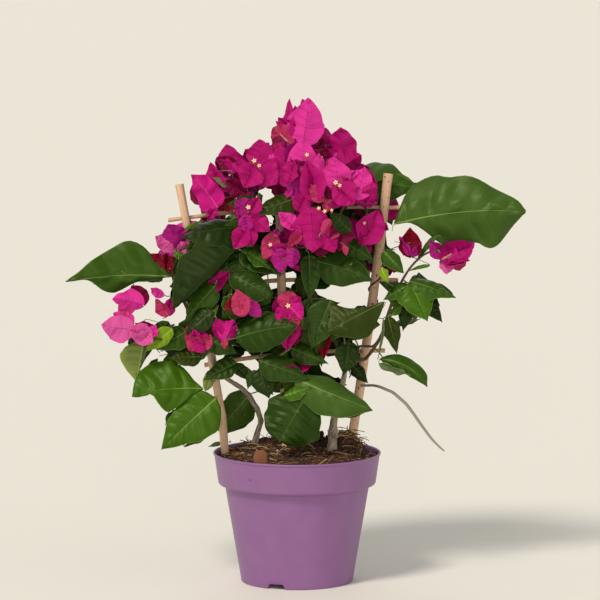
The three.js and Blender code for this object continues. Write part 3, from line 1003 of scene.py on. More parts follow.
def half_widths(place, side, width, fullness, uneven, phase, lobes, profile):
    """Half the width of a blade at each place from 0 to 1, on the side that is -1 or 1."""
    if len(profile):
        places, *wings = np.transpose(profile)
        wings = [sum(np.interp(place + step, places, wing) for step in (-0.02, 0, 0.02)) / 3
                 for wing in wings]
        return width * np.maximum(np.where(side < 0, *wings), LEAST_HALF_WIDTH)
    start, end = fullness
    widest = start / (start + end)
    x = np.clip(place, 0, 1)
    outline = (x / widest) ** start * ((1 - x) / (1 - widest)) ** end
    drift = np.sin(TURN * (1.3 * place + 0.33 * side) + 5 * phase)
    drift = drift + 0.6 * np.sin(TURN * (3.3 * place + 0.21 * side) + 9 * phase)
    swell = 1 + uneven * drift
    for wing, middle, amount, extent in lobes:
        swell = swell + (side == wing) * amount * np.exp(-(((place - middle) / extent) ** 2))
    return np.maximum(width / 2 * outline * swell, 0.5 * (1 - place) + LEAST_HALF_WIDTH)


# %% Placing and closing a blade
def lay_along(midrib, heading, x, y, z, length):
    """Carries points from a straight blade to the bent one: x along it, y across, z up."""
    at = np.clip(x, 0, 1)
    middle = stack(*(np.interp(at, STATIONS, part) for part in midrib.T)) * length
    ahead = stack(*(np.interp(at, STATIONS, part) for part in heading.T))
    middle = middle + ahead * ((x - at) * length)[..., None]
    rise = unit(stack(-ahead[..., 2], np.zeros_like(at), ahead[..., 0]))
    return middle + np.cross(rise, ahead) * y[..., None] + rise * z[..., None]


def turn_to(points, chord, base, tip, face):
    """Turns a blade so that its chord runs from base to tip and its upper side faces a way."""
    up_here = unit(Z - chord * chord[2])
    own = np.stack([chord, np.cross(up_here, chord), up_here])
    goal = unit(tip - base)
    facing = unit(np.asarray(face, float) - goal * (np.asarray(face, float) @ goal))
    world = np.stack([goal, np.cross(facing, goal), facing])
    return base + points @ own.T @ world


def two_sheets(points, thickness):
    """Points of the upper sheet and of an underside that shares its margin, and both sets of faces."""
    count, wide = points.shape[:2]
    normal = unit(np.cross(np.gradient(points, axis=0), np.gradient(points, axis=1)))
    under = (points - normal * thickness)[1:-1, 1:-1]
    index = np.arange(count * wide).reshape(count, wide)
    below = index.copy()
    below[1:-1, 1:-1] = count * wide + np.arange(under[..., 0].size).reshape(under.shape[:2])
    upper = stack(index[:-1, :-1], index[1:, :-1], index[1:, 1:], index[:-1, 1:])
    lower = stack(below[:-1, :-1], below[:-1, 1:], below[1:, 1:], below[1:, :-1])
    return np.vstack([points.reshape(-1, 3), under.reshape(-1, 3)]), upper, lower, index


# %% Blade
def blade(base, tip, width, face, layout="leaf", fullness=(0.62, 1.25), fold=10, cup=-14,
          bend=14, hook=0, twist=0, sickle=0, wave=0.0, ripples=2.0, phase=0.0, quilt=1.1,
          heart=0.0, midrib=0.42, vein=0.2, crinkle=0.0, buckle=0.7, uneven=0.06, lobes=(),
          profile=(), hem=0.3, creased=False, thickness=0.34):
    """Points, faces and flat map of one blade from its base to its tip, facing a direction.

    fullness is how fast the outline widens from the base and narrows to the tip; fold is the
    angle of each half to the flat; cup curls the margins up; bend droops the blade along its
    length and hook its tip; all angles in degrees, all lengths in mm. quilt swells the flesh
    between veins, wave and ripples move the margin, buckle and crinkle crumple the whole. A
    profile, for a leaf with an outline of its own, lists (place, half width of one side, of the
    other); width scales it.
    """
    rows, strips, half, edges, hemmed = LAYOUTS[layout]
    base, tip = np.asarray(base, float), np.asarray(tip, float)
    spine, heading = bent_midrib(bend, hook, sickle)
    length = np.linalg.norm(tip - base) / np.linalg.norm(spine[-1])

    columns = np.concatenate([-half[::-1], half])
    side, reach = np.repeat([-1.0, 1.0], len(half)), np.abs(columns)
    row = rows[:, :1]
    steady = row + 0.02 * np.sin(TURN * (2 * row + phase)) * np.sin(np.pi * row)
    lag = 0.03 * np.sin(np.pi * row) * side * smooth(reach * 5)
    along_midrib = steady + lag + rows[:, 1:] * (vein / length) * (1 - 0.8 * reach)[None, :]
    at_margin = along_midrib + SWEEP * along_midrib * (1 - along_midrib)
    half_width = half_widths(at_margin, side, width, fullness, uneven, phase, lobes, profile)
    rib = np.minimum(midrib * (1.15 - at_margin) / half_width, 0.4)
    share = rib + (1 - rib) * reach[None, :]
    if hemmed:
        share[:, [1, -2]] = np.clip(1 - hem / half_width[:, [1, -2]], 0.86, 0.992)
    x = along_midrib + SWEEP * along_midrib * (1 - along_midrib) * share ** 1.5
    x = x - heart * width / length * share ** 2 * (1 - np.clip(along_midrib, 0, 1)) ** 8
    span = share * half_width

    slope = np.radians(fold) + np.radians(cup) * share / 2
    y = side * span * np.cos(slope)
    z = span * np.sin(slope)
    place = np.clip(along_midrib, 0, 1)
    if quilt and len(edges) > 2:
        cell = np.clip(np.searchsorted(edges, place, side="right") - 1, 0, len(edges) - 2)
        within = (place - edges[cell]) / (edges[cell + 1] - edges[cell])
        z = z + (quilt * np.sin(np.pi * within) ** 0.8 * np.minimum(1, 4 * share)
                 * (1 - share ** 3) ** 0.7)
    margin = share ** 2 * np.sin(np.pi * np.clip(place * 1.04, 0, 1)) ** 0.5
    z = z + wave * margin * np.sin(TURN * (ripples * place + phase) + side * 1.1)
    calm = np.sin(np.pi * place) ** 0.5
    u, v = x * length + 40 * phase + 300, y + 300
    z = z + buckle * min(1, length / 34) * noise(u, v, BUCKLE_MM, 23) * calm
    if crinkle:
        z = z + crinkle * noise(u, v, CRINKLE_MM, 21) * calm

    spun = np.radians(twist) * (np.clip(x, 0, 1) - 0.5)
    y, z = y * np.cos(spun) - z * np.sin(spun), y * np.sin(spun) + z * np.cos(spun)
    points = lay_along(spine, heading, x, y, z, length)
    points = turn_to(points, unit(spine[-1]), base, tip, face)
    points, upper, lower, index = two_sheets(points, thickness)

    lines = np.zeros(upper.shape[:2], int)
    lines[strips] = SIDE_VEIN
    lines[:, [0, -1]] = MIDRIB if hemmed else FLESH
    lines[:, len(half) - 1] = MIDRIB
    chart = stack(x * length, side * span)
    flat = np.vstack([chart.reshape(-1, 2), chart[1:-1, 1:-1].reshape(-1, 2)])
    flat = flat + [60 * (phase % 7), 45 * (phase % 5)]
    rim = np.zeros(len(flat), bool)
    rim[np.concatenate([index[0], index[-1], index[:, 0], index[:, -1]])] = True
    if creased:
        rim[index[:, len(half) - 1:len(half) + 1].ravel()] = True
    return points, upper, lower, lines, flat, rim


# %% [markdown]
# ## Leaf finishes
#
# A bougainvillea leaf is waxy. The wax gives a broad satin gloss over flesh that is dark where
# the leaf is old and yellow-green where it is young, and the underside is paler and nearly matt.
# Each tone has plain colours for the upper side, the veins and the underside. One greyer, lighter
# tone is painted sheen: it stands for the wax catching the light on a few large leaves, and for
# light on one leaf that lies in shade. Only the fine net of veinlets, which is relief and not
# colour, is a pattern.

# %% Leaf materials
NET_MM = 2.6  # real cells are about 1 mm wide, which is too fine to show
LEAF_TONES = {
    # tone: (upper side, side veins, midrib and margin, underside)
    "deep": ("#162807", "#1b2f0b", "#36491e", "#2b3c15"),
    "dark": ("#20360a", "#273f10", "#486027", "#394e1c"),
    "mid": ("#2d490e", "#375515", "#627b34", "#4a6226"),
    # painted sheen: a greyer, lighter green for the wax catching the light, and for light on a leaf in
    # shade
    "silver": ("#39531c", "#445f28", "#6f8645", "#52693a"),
    "fresh": ("#385a0c", "#446817", "#73903b", "#56722b"),
    "lime": ("#6f8e1a", "#7b9a28", "#9cb04a", "#84983c"),
    "olive": ("#28340b", "#313e12", "#566530", "#4a5824"),
    "sage": ("#5b6b43", "#67774e", "#8b976a", "#7a8762"),
    "pale": ("#748342", "#80904e", "#a0ab6c", "#8b975e"),
    "dry": ("#8a857a", "#969186", "#a19c90", "#8f8a7e"),
}


def veinlets(tree, shader, randomness, valley, strength, depth):
    """The net of veinlets, as relief: cells of flesh between valleys. depth is in mm."""
    place = add(tree, "ShaderNodeTexCoord").outputs["UV"]
    net = add(tree, "ShaderNodeTexVoronoi", {"Scale": 1 / (NET_MM * MM), "Randomness": randomness},
              {"Vector": place}, feature="DISTANCE_TO_EDGE")
    swell = add(tree, "ShaderNodeMapRange", {"From Max": valley}, {"Value": net})
    bump = add(tree, "ShaderNodeBump", {"Strength": strength, "Distance": depth * MM},
               {"Height": swell})
    link(tree, shader, {"Normal": bump})


def waxy_blade(name, colour, roughness, depth):
    material, tree, shader = new_material(name, colour, roughness, IOR=1.45,
                                          Specular_IOR_Level=0.27, Specular_Tint=linear("#d4e4ac"))
    veinlets(tree, shader, 0.9, 0.28, 0.5, depth)
    return material


DRY_ROUGHNESS, WAXY_ROUGHNESS = 0.62, 0.38
leaf_finishes = []
for tone, (upper, vein, rib, under) in LEAF_TONES.items():
    matt = DRY_ROUGHNESS if tone == "dry" else WAXY_ROUGHNESS
    leaf_finishes += [
        waxy_blade(f"waxy_leaf_{tone}", upper, matt, 0.10),
        waxy_blade(f"leaf_vein_{tone}", vein, matt + 0.06, 0.0),
        waxy_blade(f"leaf_midrib_{tone}", rib, matt + 0.1, 0.0),
        waxy_blade(f"leaf_underside_{tone}", under, 0.6, 0.14),
    ]
stalk_finishes = [new_material("green_stalk", "#6f8a45", 0.5)[0],
                  new_material("red_stalk", "#8a5a44", 0.55)[0]]
FINISH_NAMES = {
    "leaf": ("waxy_leaf_", "leaf_vein_", "leaf_midrib_", "leaf_underside_"),
    "bract": ("papery_bract_", "bract_vein_", "bract_midrib_", "bract_back_"),
}


def add_blade(batch, tone, kind, base, tip, width, face, **shape):
    """Adds one blade to a batch, in the four finishes of its tone, and returns its points."""
    points, upper, lower, lines, flat, rim = blade(base, tip, width, face, **shape)
    top, line, rib, under = (name + tone for name in FINISH_NAMES[kind])
    batch.add(points, [
        (upper[lines == FLESH], top), (upper[lines == SIDE_VEIN], line),
        (upper[lines == MIDRIB], rib), (lower[lines == FLESH], under),
        (lower[lines == SIDE_VEIN], under), (lower[lines == MIDRIB], rib),
    ], flat, rim)
    return points


# %% [markdown]
# ## Leaves that are seen
#
# The large leaves on the near side are set one by one, because each has its own gesture: one is
# folded like a roof, one curls its tip, one hangs. A spray keeps to the depth of its mass of the
# frame. An entry gives the tone, the stalk end and the tip as (across, height, distance behind
# the middle of the mass), the width, the way the blade faces and any shape of its own.

# %% Setting blades one by one
leaf_batch = Batch("leaves_front", "leaf", leaf_finishes + stalk_finishes)
bases = []  # (node, kind, stalk end, heading) of every leaf and bract, for the twigs
hero_points = []  # points of each blade that is set one by one
FRONT = (0, -1, 0.3)


def set_blade(batch, kind, node, entry, **common):
    """Sets one blade. An entry may end with the settings of its own shape."""
    tone, base, tip, width, face, *shape = entry
    settings = {**common, **(shape[0] if shape else {})}
    depth = node_middle(node)[1]
    start = sight(base[0], base[1], depth + base[2])
    end = sight(tip[0], tip[1], depth + tip[2])
    if kind == "bract":
        width /= math.cos(math.radians(settings["fold"] + settings["cup"] / 3))
    hero_points.append(add_blade(batch, tone, kind, start, end, width, face, **settings))
    bases.append((node, kind, start, unit(end - start)))


def leaves(node, entries):
    for number, entry in enumerate(entries):
        set_blade(leaf_batch, "leaf", node, entry, phase=0.37 * number + 0.11 * len(bases))


# %% Leaves at the right
leaves("leaves_right", [
    # this big leaf's greyer tone is painted sheen
    ("silver", (98, 364, 0), (230.5, 376.5, -8), 1.04, (0.05, -1, 0.12),
     dict(profile=((0, 0.5, 0.5), (0.05, 1, 11), (0.11, 1.5, 26), (0.18, 8, 35), (0.23, 17, 38),
                   (0.3, 28, 41.5), (0.37, 36, 42), (0.44, 41, 37.5), (0.5, 40, 38), (0.56, 33, 38.5),
                   (0.62, 32, 36), (0.68, 38, 31.5), (0.74, 40, 25.5), (0.8, 36, 21), (0.86, 26, 17),
                   (0.92, 14, 13), (0.97, 6, 8), (1, 0, 0)),
          fold=-18, cup=-8, bend=8, sickle=-20, wave=3.8, ripples=2.2, phase=0.1, quilt=3.2,
          midrib=0.8, vein=0.3, buckle=3.4)),
])
leaves("leaves_top_right", [
    ("mid", (52, 408, 6), (123, 400, -6), 64, (-0.1, -0.85, 0.45),
     dict(fold=-16, cup=-18, bend=22, hook=10, quilt=1.2, wave=1.4, lobes=((-1, 0.6, -0.2, 0.3),))),
    ("deep", (112, 402, 10), (131, 396, 4), 14, (0.2, -0.8, 0.6)),
])
leaves("leaves_right_middle", [
    ("mid", (87, 337, -6), (108, 314, -14), 19, (-0.2, -0.8, 0.5),
     dict(fold=-16, bend=24, fullness=(0.5, 1.0))),
    ("lime", (85, 319, -8), (92, 304, -14), 10, FRONT, dict(fold=6)),
    ("mid", (114, 306, -2), (161, 289, -10), 26, (0.1, -0.75, 0.65),
     dict(fold=-12, cup=-20, bend=20, wave=1)),
    ("fresh", (115, 303, -4), (132, 265, -18), 38, (0.1, -0.9, 0.45),
     dict(fold=14, cup=-46, bend=20, wave=1.6)),
    ("mid", (113, 302, -2), (87, 287, -8), 20, (-0.1, -0.8, 0.6), dict(fold=-14, bend=16)),
    ("mid", (122, 300, 4), (153, 290, -4), 22, (0.1, -0.8, 0.5), dict(fold=-10, hook=24)),
    ("deep", (127, 290, 8), (147, 264, 2), 18, (0.3, -0.9, 0.1), dict(fold=8)),
    ("deep", (113, 288, 10), (107, 255, 6), 17, (-0.1, -0.95, 0.1), dict(fold=12)),
    ("mid", (141, 352, 6), (120, 326, 2), 8, (-0.5, -0.7, 0.3), dict(fold=24)),
    ("fresh", (134, 322, 2), (112, 316, 0), 6, (0.1, -0.6, 0.8), dict(fold=20)),
])
leaves("leaves_right_hanging", [
    ("olive", (92, 270, 0), (101, 232, -4), 18, (0.2, -0.95, 0.1), dict(fold=14, bend=10, wave=1.6)),
    ("sage", (87, 268, -6), (81, 226, -10), 6, (0.8, -0.6, 0), dict(fold=26)),
    ("fresh", (96, 272, 2), (107, 283, 0), 9, FRONT),
])
leaves("leaves_right_low", [
    ("mid", (84, 227, 2), (132, 198, -10), 1.1, (0.1, -0.93, 0.35),
     dict(profile=((0, 0.5, 0.5), (0.1, 5, 6), (0.25, 7, 10), (0.45, 7, 11), (0.65, 6.5, 10),
                   (0.85, 4, 8), (1, 0, 0)),
          fold=-20, cup=-16, bend=20, hook=20, sickle=-52, wave=1.4, quilt=1.2)),
    ("sage", (83, 222, -3), (116, 210, -8), 11, (0.1, -0.8, -0.6),
     dict(fold=12, cup=20, wave=1.4, ripples=2.4, sickle=-20)),
])

# %% Leaves at the left
leaves("leaves_left", [
    ("mid", (-126, 311, 4), (-234, 305.5, -6), 1.04, (0, -1, -0.1),
     dict(profile=((0, 0.5, 0.5), (0.08, 7, 2.6), (0.12, 12, 4), (0.19, 19, 7.5), (0.24, 26, 8.5),
                   (0.3, 31, 7.4), (0.37, 34, 9), (0.45, 33, 15), (0.54, 27.5, 19.5), (0.6, 24, 18.5),
                   (0.67, 20.5, 14.5), (0.73, 18, 8), (0.78, 14.5, 2.5), (0.84, 9.5, 1.2),
                   (0.93, 4, 0.8), (1, 0, 0)),
          fold=-16, cup=-8, bend=6, hook=-8, sickle=15, wave=2.6, ripples=1.4, phase=0.45,
          quilt=2.4, midrib=0.7, vein=0.28, buckle=2.6)),
    ("dark", (-121, 311, 12), (-112, 288, 10), 18, (0.1, -1, 0), dict(fold=8)),
    ("olive", (-127, 338, 8), (-121, 305, 6), 12, (-0.6, -0.8, 0), dict(fold=10)),
])
leaves("leaves_upper_left", [
    ("deep", (-57, 361, 6), (-118, 350, -8), 42, (-0.1, -0.72, 0.68),
     dict(fold=-8, cup=-26, bend=26, quilt=1.1, wave=1.2)),
    ("olive", (-62, 353, 4), (-119, 337, -4), 17, (0.1, 0.75, 0.55), dict(fold=10, cup=20)),
    ("deep", (-62, 339, -6), (-126, 278, -16), 72, (0.45, -0.76, -0.42),
     dict(fullness=(0.6, 1.0), fold=-38, cup=-10, bend=16, quilt=3.0, midrib=0.6, buckle=1.6)),
    ("mid", (-82, 302, 4), (-114, 265, 2), 27, (-0.1, -0.9, 0.35), dict(fold=-8, quilt=0.9)),
    ("deep", (-58, 345, 8), (-100, 330, 2), 24, (0, -0.9, 0.3), dict(fold=-10)),
    ("fresh", (-124, 337, 10), (-106, 318, 6), 9, (0.4, -0.9, 0), dict(fold=14)),
    ("deep", (-84, 277, -4), (-113, 252, -8), 24, (-0.1, -0.9, 0.4), dict(fold=-6)),
])
leaves("leaves_left_middle", [
    ("pale", (-155, 247, 8), (-163, 204, 2), 1.05, (0.1, -0.97, 0.1),
     dict(profile=((0, 0.5, 0.5), (0.1, 9, 1), (0.25, 17, 2), (0.45, 21, 2), (0.6, 18.5, 2),
                   (0.8, 11, 2), (1, 0, 0)),
          fold=-8, quilt=1.6, midrib=0.6)),
    ("sage", (-152, 247, 10), (-162, 210, 6), 7, (0.7, -0.7, 0.1), dict(fold=10)),
    ("lime", (-126, 258, -8), (-154, 234, -14), 17, (0.2, -0.9, 0.3), dict(fold=12, cup=-20, wave=1)),
    ("mid", (-110, 256, 2), (-143, 236, -6), 27, (-0.1, -0.9, 0.35), dict(fold=-8)),
    ("olive", (-97, 229, 0), (-130, 228, -8), 21, (0, -0.85, 0.5), dict(fold=-8)),
    ("dark", (-140, 264, 10), (-127, 252, 8), 14, FRONT, dict(fullness=(0.5, 0.7))),
    ("mid", (-120, 232, 10), (-138, 214, 6), 16, (-0.2, -0.9, 0.2), dict(fold=8)),
])
leaves("leaves_left_low", [
    ("fresh", (-95, 196, 4), (-167, 188, -8), 1.1, (-0.08, -0.92, 0.38),
     dict(profile=((0, 0.5, 0.5), (0.05, 4, 2), (0.13, 10.5, 5), (0.21, 20.5, 9), (0.27, 23.5, 12),
                   (0.38, 27, 17), (0.52, 29.5, 20.5), (0.6, 30, 17), (0.67, 29, 11),
                   (0.73, 27.5, 2.5), (0.83, 23, 3), (0.91, 14.5, 2), (0.97, 6, 1), (1, 0, 0)),
          fold=-6, cup=-16, bend=14, hook=10, sickle=20, quilt=2.2, wave=3.4, ripples=1.8, buckle=2.6)),
    ("fresh", (-82, 187, 0), (-138, 134, -10), 48, (-0.05, -0.95, 0.28),
     dict(fullness=(0.55, 1.1), fold=7, cup=-22, bend=14, quilt=2.6, wave=1.4, midrib=0.6, buckle=1.4)),
    ("sage", (-77, 141, 46), (-90, 137, 42), 5, FRONT),
])
leaves("leaves_inner_left", [
    ("dark", (-61, 223, -2), (-95, 205, -10), 22, (-0.1, -0.9, 0.4), dict(fold=12, midrib=0.8)),
    ("pale", (-86, 216, 6), (-93, 194, 2), 13, (0.3, -0.9, 0.1), dict(fullness=(0.6, 0.8))),
    ("dark", (-62, 222, 8), (-48, 204, 4), 13, FRONT, dict(fold=10)),
])
leaves("leaf_low_back", [
    # the greyer, lighter tone on this leaf is painted light, lifting a leaf that lies in shade
    ("silver", (-47, 192, 0), (-80, 153, 6), 36, (0.05, -0.96, 0.2),
     dict(fullness=(0.6, 0.8), fold=-8, bend=14, quilt=1.4)),
    ("mid", (-46, 180, 10), (-72, 150, 12), 24, (-0.1, -0.96, 0.2), dict(fold=-10, bend=10)),
])

# %% Leaves in the middle
leaves("leaves_centre", [
    ("dark", (-57, 337, 4), (-19, 312, -6), 30, (0.25, -0.85, 0.4),
     dict(fold=16, cup=-12, bend=12, hook=10)),
    ("dark", (-36, 336, 6), (-82, 316, 0), 24, (-0.1, -0.75, 0.6), dict(fold=-14, cup=-16)),
    ("dark", (-62, 311, -12), (-25, 292, -20), 29, (-0.12, -0.9, 0.4),
     dict(fullness=(0.5, 0.7), heart=0.25, fold=-9, cup=-18, bend=16, quilt=1.4, sickle=12,
          wave=2.2, hem=0.5)),
    ("mid", (-50, 335, -10), (-26, 318, -12), 17, (0.2, -0.75, 0.6), dict(fold=20, cup=-30, wave=2)),
    ("mid", (-70, 291, -6), (-63, 262, -12), 20, (0.4, -0.85, 0.3), dict(fold=18)),
    ("deep", (-48, 268, 4), (-22, 284, 8), 12, FRONT, dict(fold=6)),
    ("mid", (-66, 262, 4), (-42, 266, 2), 9, FRONT, dict(fold=14)),
    ("deep", (-80, 262, -2), (-60, 240, -4), 20, FRONT, dict(fold=-6)),
])
leaves("leaf_centre_low", [
    ("dark", (-63, 248, 6), (1, 261, -8), 44, (0.02, -0.95, 0.32),
     dict(fullness=(0.66, 1.0), fold=-14, cup=-12, bend=14, hook=8, quilt=1.4, sickle=-12, midrib=0.55)),
    ("dark", (-92, 248, 14), (-60, 232, 8), 22, (0.1, -0.9, 0.3), dict(fold=-8)),
])
leaves("leaves_centre_upper", [
    ("olive", (0, 390, -8), (-44, 374, -20), 27, (0, -0.8, 0.6), dict(fold=-8, cup=-16, bend=20)),
    ("dark", (-42, 388, -10), (-71, 384, -14), 16, (0, -0.85, 0.5), dict(fold=-12)),
    ("sage", (-68, 403, 6), (-85, 411, 0), 10, (0, -0.8, 0.6)),
    ("deep", (54, 357, -20), (32, 376, -24), 18, (0.2, -0.95, 0.1), dict(fold=-8)),
    ("dark", (45, 347, 2), (78, 327, -4), 22, (0.1, -0.9, 0.3), dict(fold=-10)),
    ("dark", (12, 334, -4), (13, 286, -14), 24, (0.35, -0.95, 0.1), dict(fold=26, cup=-14, bend=8)),
    ("dark", (17, 327, -6), (76, 307, -18), 38, (0.02, -0.93, 0.36),
     dict(fullness=(0.62, 1.05), fold=-9, cup=-14, bend=16, wave=1.0, sickle=-10)),
    ("deep", (20, 344, 6), (4, 318, 4), 22, FRONT),
    ("deep", (58, 348, 10), (36, 330, 6), 26, FRONT),
    ("fresh", (60, 340, 4), (77, 326, 2), 10, (0.4, -0.8, 0.4), dict(fold=10)),
    ("olive", (10, 312, 8), (6, 288, 6), 24, FRONT, dict(fold=-6)),
])
leaves("leaves_centre_right", [
    ("olive", (88, 285, 0), (31, 255, -10), 1.0, (-0.02, -0.97, 0.2),
     dict(profile=((0, 0.5, 0.5), (0.06, 1.5, 5), (0.16, 2, 11), (0.27, 3, 16), (0.36, 5, 21),
                   (0.45, 8, 24.5), (0.55, 12, 23.5), (0.64, 18, 20.5), (0.7, 23, 18),
                   (0.75, 28, 16), (0.8, 19, 13.6), (0.86, 11.5, 11), (0.93, 7.5, 7.2), (1, 0, 0)),
          fold=-9, cup=-12, bend=14, quilt=1.0, midrib=0.5, wave=2.2, ripples=1.6, buckle=1.8)),
    ("dark", (34, 287, 6), (14, 236, -6), 33, (-0.1, -0.97, 0.15), dict(fold=12, bend=12, quilt=0.9)),
    ("deep", (14, 286, 8), (30, 254, 4), 20, (0.3, -0.9, 0.1), dict(fold=14)),
    ("dark", (-6, 238, 4), (31, 222, -2), 22, (0, -0.9, 0.35), dict(fold=-10, wave=1.6)),
    ("deep", (78, 268, 8), (50, 244, 4), 20, (0, -0.95, 0.2), dict(fold=-6)),
])
leaves("leaves_inner_right", [
    ("deep", (53, 245, 0), (47, 210, -6), 25, (0.1, -0.96, 0.2), dict(fold=12, bend=12)),
    ("deep", (57, 220, 36), (72, 202, 36), 15, (0.1, -0.9, 0.4), dict(fold=-12)),
])
leaves("leaf_low_front", [
    ("dark", (8, 187, 6), (-18, 142, -4), 62, (0.02, -0.96, 0.28),
     dict(fullness=(0.5, 0.45), heart=0.2, fold=-7, cup=-16, bend=26, hook=-12, quilt=2.0,
          wave=2.2, buckle=2)),
    ("fresh", (-13, 189, 6), (15, 198, 2), 17, (0.1, -0.8, 0.6), dict(fold=-12, wave=1.4)),
])
leaves("leaves_low_middle", [
    ("dark", (-38, 225, -8), (14, 205, -14), 30, (0.02, -0.88, 0.46), dict(fold=-10, cup=-14, bend=16)),
    ("deep", (-38, 217, 4), (-28, 186, -4), 26, (-0.2, -0.95, 0.2), dict(fold=10)),
    ("mid", (-40, 208, 6), (-24, 190, 0), 19, FRONT, dict(fold=-6)),
    ("dark", (-44, 214, 8), (-50, 196, 4), 11, (-0.3, -0.9, 0.2), dict(fold=12)),
])
leaves("leaves_low_right", [
    # this leaf's greyer tone is painted sheen
    ("silver", (-3, 208, 6), (77, 174, -8), 47, (0.1, -0.84, 0.53),
     dict(fullness=(0.7, 1.02), fold=-20, cup=-18, bend=18, hook=10, sickle=16, quilt=1.8, wave=1.4,
          midrib=0.6, buckle=1.4)),
])
print("leaves set by hand:", len(bases))

# %% [markdown]
# ### The long dry blade
#
# One thin grass-like blade, grey and dry, falls over the rim. It is a flattened tube along the
# line of its solid, drawn out to a point.

# %% Dry blade
DRY_HALF_WIDTH = 2.5
DRY_HALF_THICKNESS = 1.3
dry_middle, _ = centre_line("leaf_dry", ACROSS, 14)
dry_path = smooth_path(dry_middle, 2.5)
dry_length = along(dry_path)[-1]


def flat_section(angles, length):
    """An ellipse that grows from the foot of the blade and runs out to its tip."""
    grown = 0.25 + 0.75 * smooth(length / 30)
    taper = 0.08 + 0.92 * np.sqrt(max(0.0, 1 - (length / dry_length) ** 3))
    wide, thick = DRY_HALF_WIDTH * grown * taper, DRY_HALF_THICKNESS * (0.5 + 0.5 * taper)
    return wide * thick / np.hypot(thick * np.cos(angles), wide * np.sin(angles))


dry_batch = Batch("dry_blade", "leaf", [bpy.data.materials["waxy_leaf_dry"]])
tube(dry_batch, dry_path, 0.0, 12, "waxy_leaf_dry", flat_section)
dry_batch.build("leaf_dry")

# %% [markdown]
# ## Bracts
#
# A bract is a coloured leaf gone papery: dry, thin, a little crumpled, with hardly any gloss. Its
# tones paint light and shade into the colour: the deep tone is painted shade for bracts that lie
# behind each other, crimson is painted shade on old bracts, and pink and light are painted light
# where light comes through. Young ones are salmon. The same blade makes them, rounder and more
# rippled, with darker veins instead of pale ones.

# %% Bract materials
BRACT_TONES = {
    # tone: (inner side, side veins, midrib, back)
    # pink: painted light, paler where light comes through
    "pink": ("#c84f93", "#a83676", "#8c245e", "#b84884"),
    # light: painted light, the brightest magenta where light comes through
    "light": ("#d03090", "#a0186a", "#740e44", "#bc2680"),
    "rose": ("#b61076", "#b22a70", "#c65a7c", "#a8126a"),
    "main": ("#a40a64", "#800648", "#5a0432", "#960c5a"),
    # deep: painted shade, for bracts that lie behind others
    "deep": ("#6c0432", "#500226", "#3a021a", "#62052e"),
    # crimson: painted shade on old bracts
    "crimson": ("#740620", "#5a0418", "#420210", "#6a0822"),
    "purple": ("#9c1672", "#82105c", "#620644", "#8e1668"),
    "salmon": ("#ac2e5a", "#90204a", "#bc5c60", "#a03656"),
}


def papery_bract(name, colour, depth):
    """Thin dry tissue, crumpled on the scale of its veinlets."""
    material, tree, shader = new_material(name, colour, 0.55, IOR=1.4, Specular_IOR_Level=0.16)
    veinlets(tree, shader, 1.0, 0.35, 0.7, depth)
    return material


bract_finishes = []
for tone, (inner, vein, rib, back) in BRACT_TONES.items():
    bract_finishes += [
        papery_bract(f"papery_bract_{tone}", inner, 0.25),
        papery_bract(f"bract_vein_{tone}", vein, 0.0),
        papery_bract(f"bract_midrib_{tone}", rib, 0.0),
        papery_bract(f"bract_back_{tone}", back, 0.25),
    ]
bract_batch = Batch("bracts_front", "bract", bract_finishes)
BRACT = dict(layout="bract", fullness=(0.6, 1.0), bend=-16, quilt=0.9, uneven=0.05, creased=True,
             midrib=0.34, vein=0.26, crinkle=0.4, buckle=1.7, thickness=0.22, heart=0.12)


def folded(number):
    """Each bract has its own folds: most are creased outward along the midrib, some are boats."""
    dice = chance(number + 300)
    crease = dice.uniform(-50, -30) if dice.uniform() < 0.6 else dice.uniform(24, 44)
    return dict(fold=crease, cup=-0.7 * crease + dice.uniform(-10, 20), wave=dice.uniform(0.6, 1.8),
                ripples=dice.uniform(1.6, 3.2), twist=dice.uniform(-22, 22),
                sickle=dice.uniform(-18, 18), phase=dice.uniform(0, 7))


def bracts(node, entries):
    for entry in entries:
        set_blade(bract_batch, "bract", node, entry, **folded(len(bases)), **BRACT)


# %% [markdown]
# ### Bracts at the crown
#
# Bracts are set one by one like the leaves, from the joint where three of them meet to each tip.

# %% Bracts at the top
# deep bracts are painted shade and stand behind the others; light and pink ones are painted light
LEFTWARD, RIGHTWARD = (-0.45, -0.88, 0.15), (0.45, -0.88, 0.15)
DOWNWARD, UPWARD = (0, -0.92, -0.35), (0, -0.85, 0.5)
bracts("blooms_tip", [
    ("light", (6, 447, -6), (11, 492, -6), 37, (0.15, -0.97, 0.1), dict(fold=-26, cup=26)),
    ("main", (-12, 448, 0), (-7, 491, 2), 20, (-0.75, -0.65, 0.1), dict(fold=14)),
    ("salmon", (-6, 446, -8), (-25, 461, -12), 24, (-0.3, -0.9, 0.3), dict(cup=34)),
    ("main", (-4, 458, 4), (-19, 472, 2), 18, LEFTWARD),
    ("deep", (20, 432, 4), (28, 452, 4), 15, (0.5, -0.85, 0), dict(fold=20)),
    ("main", (2, 452, 8), (-2, 484, 12), 26, LEFTWARD),
    ("deep", (10, 452, 10), (20, 480, 12), 24, RIGHTWARD),
])
bracts("blooms_top_right", [
    ("main", (41, 423, 0), (44, 462, -4), 33, (-0.1, -0.97, 0.2)),
    ("main", (43, 421, -4), (65, 434, -8), 27, (0.3, -0.92, -0.1)),
    ("deep", (40, 424, 8), (56, 450, 8), 26, RIGHTWARD),
    ("main", (40, 424, 4), (31, 440, 2), 16, LEFTWARD),
])
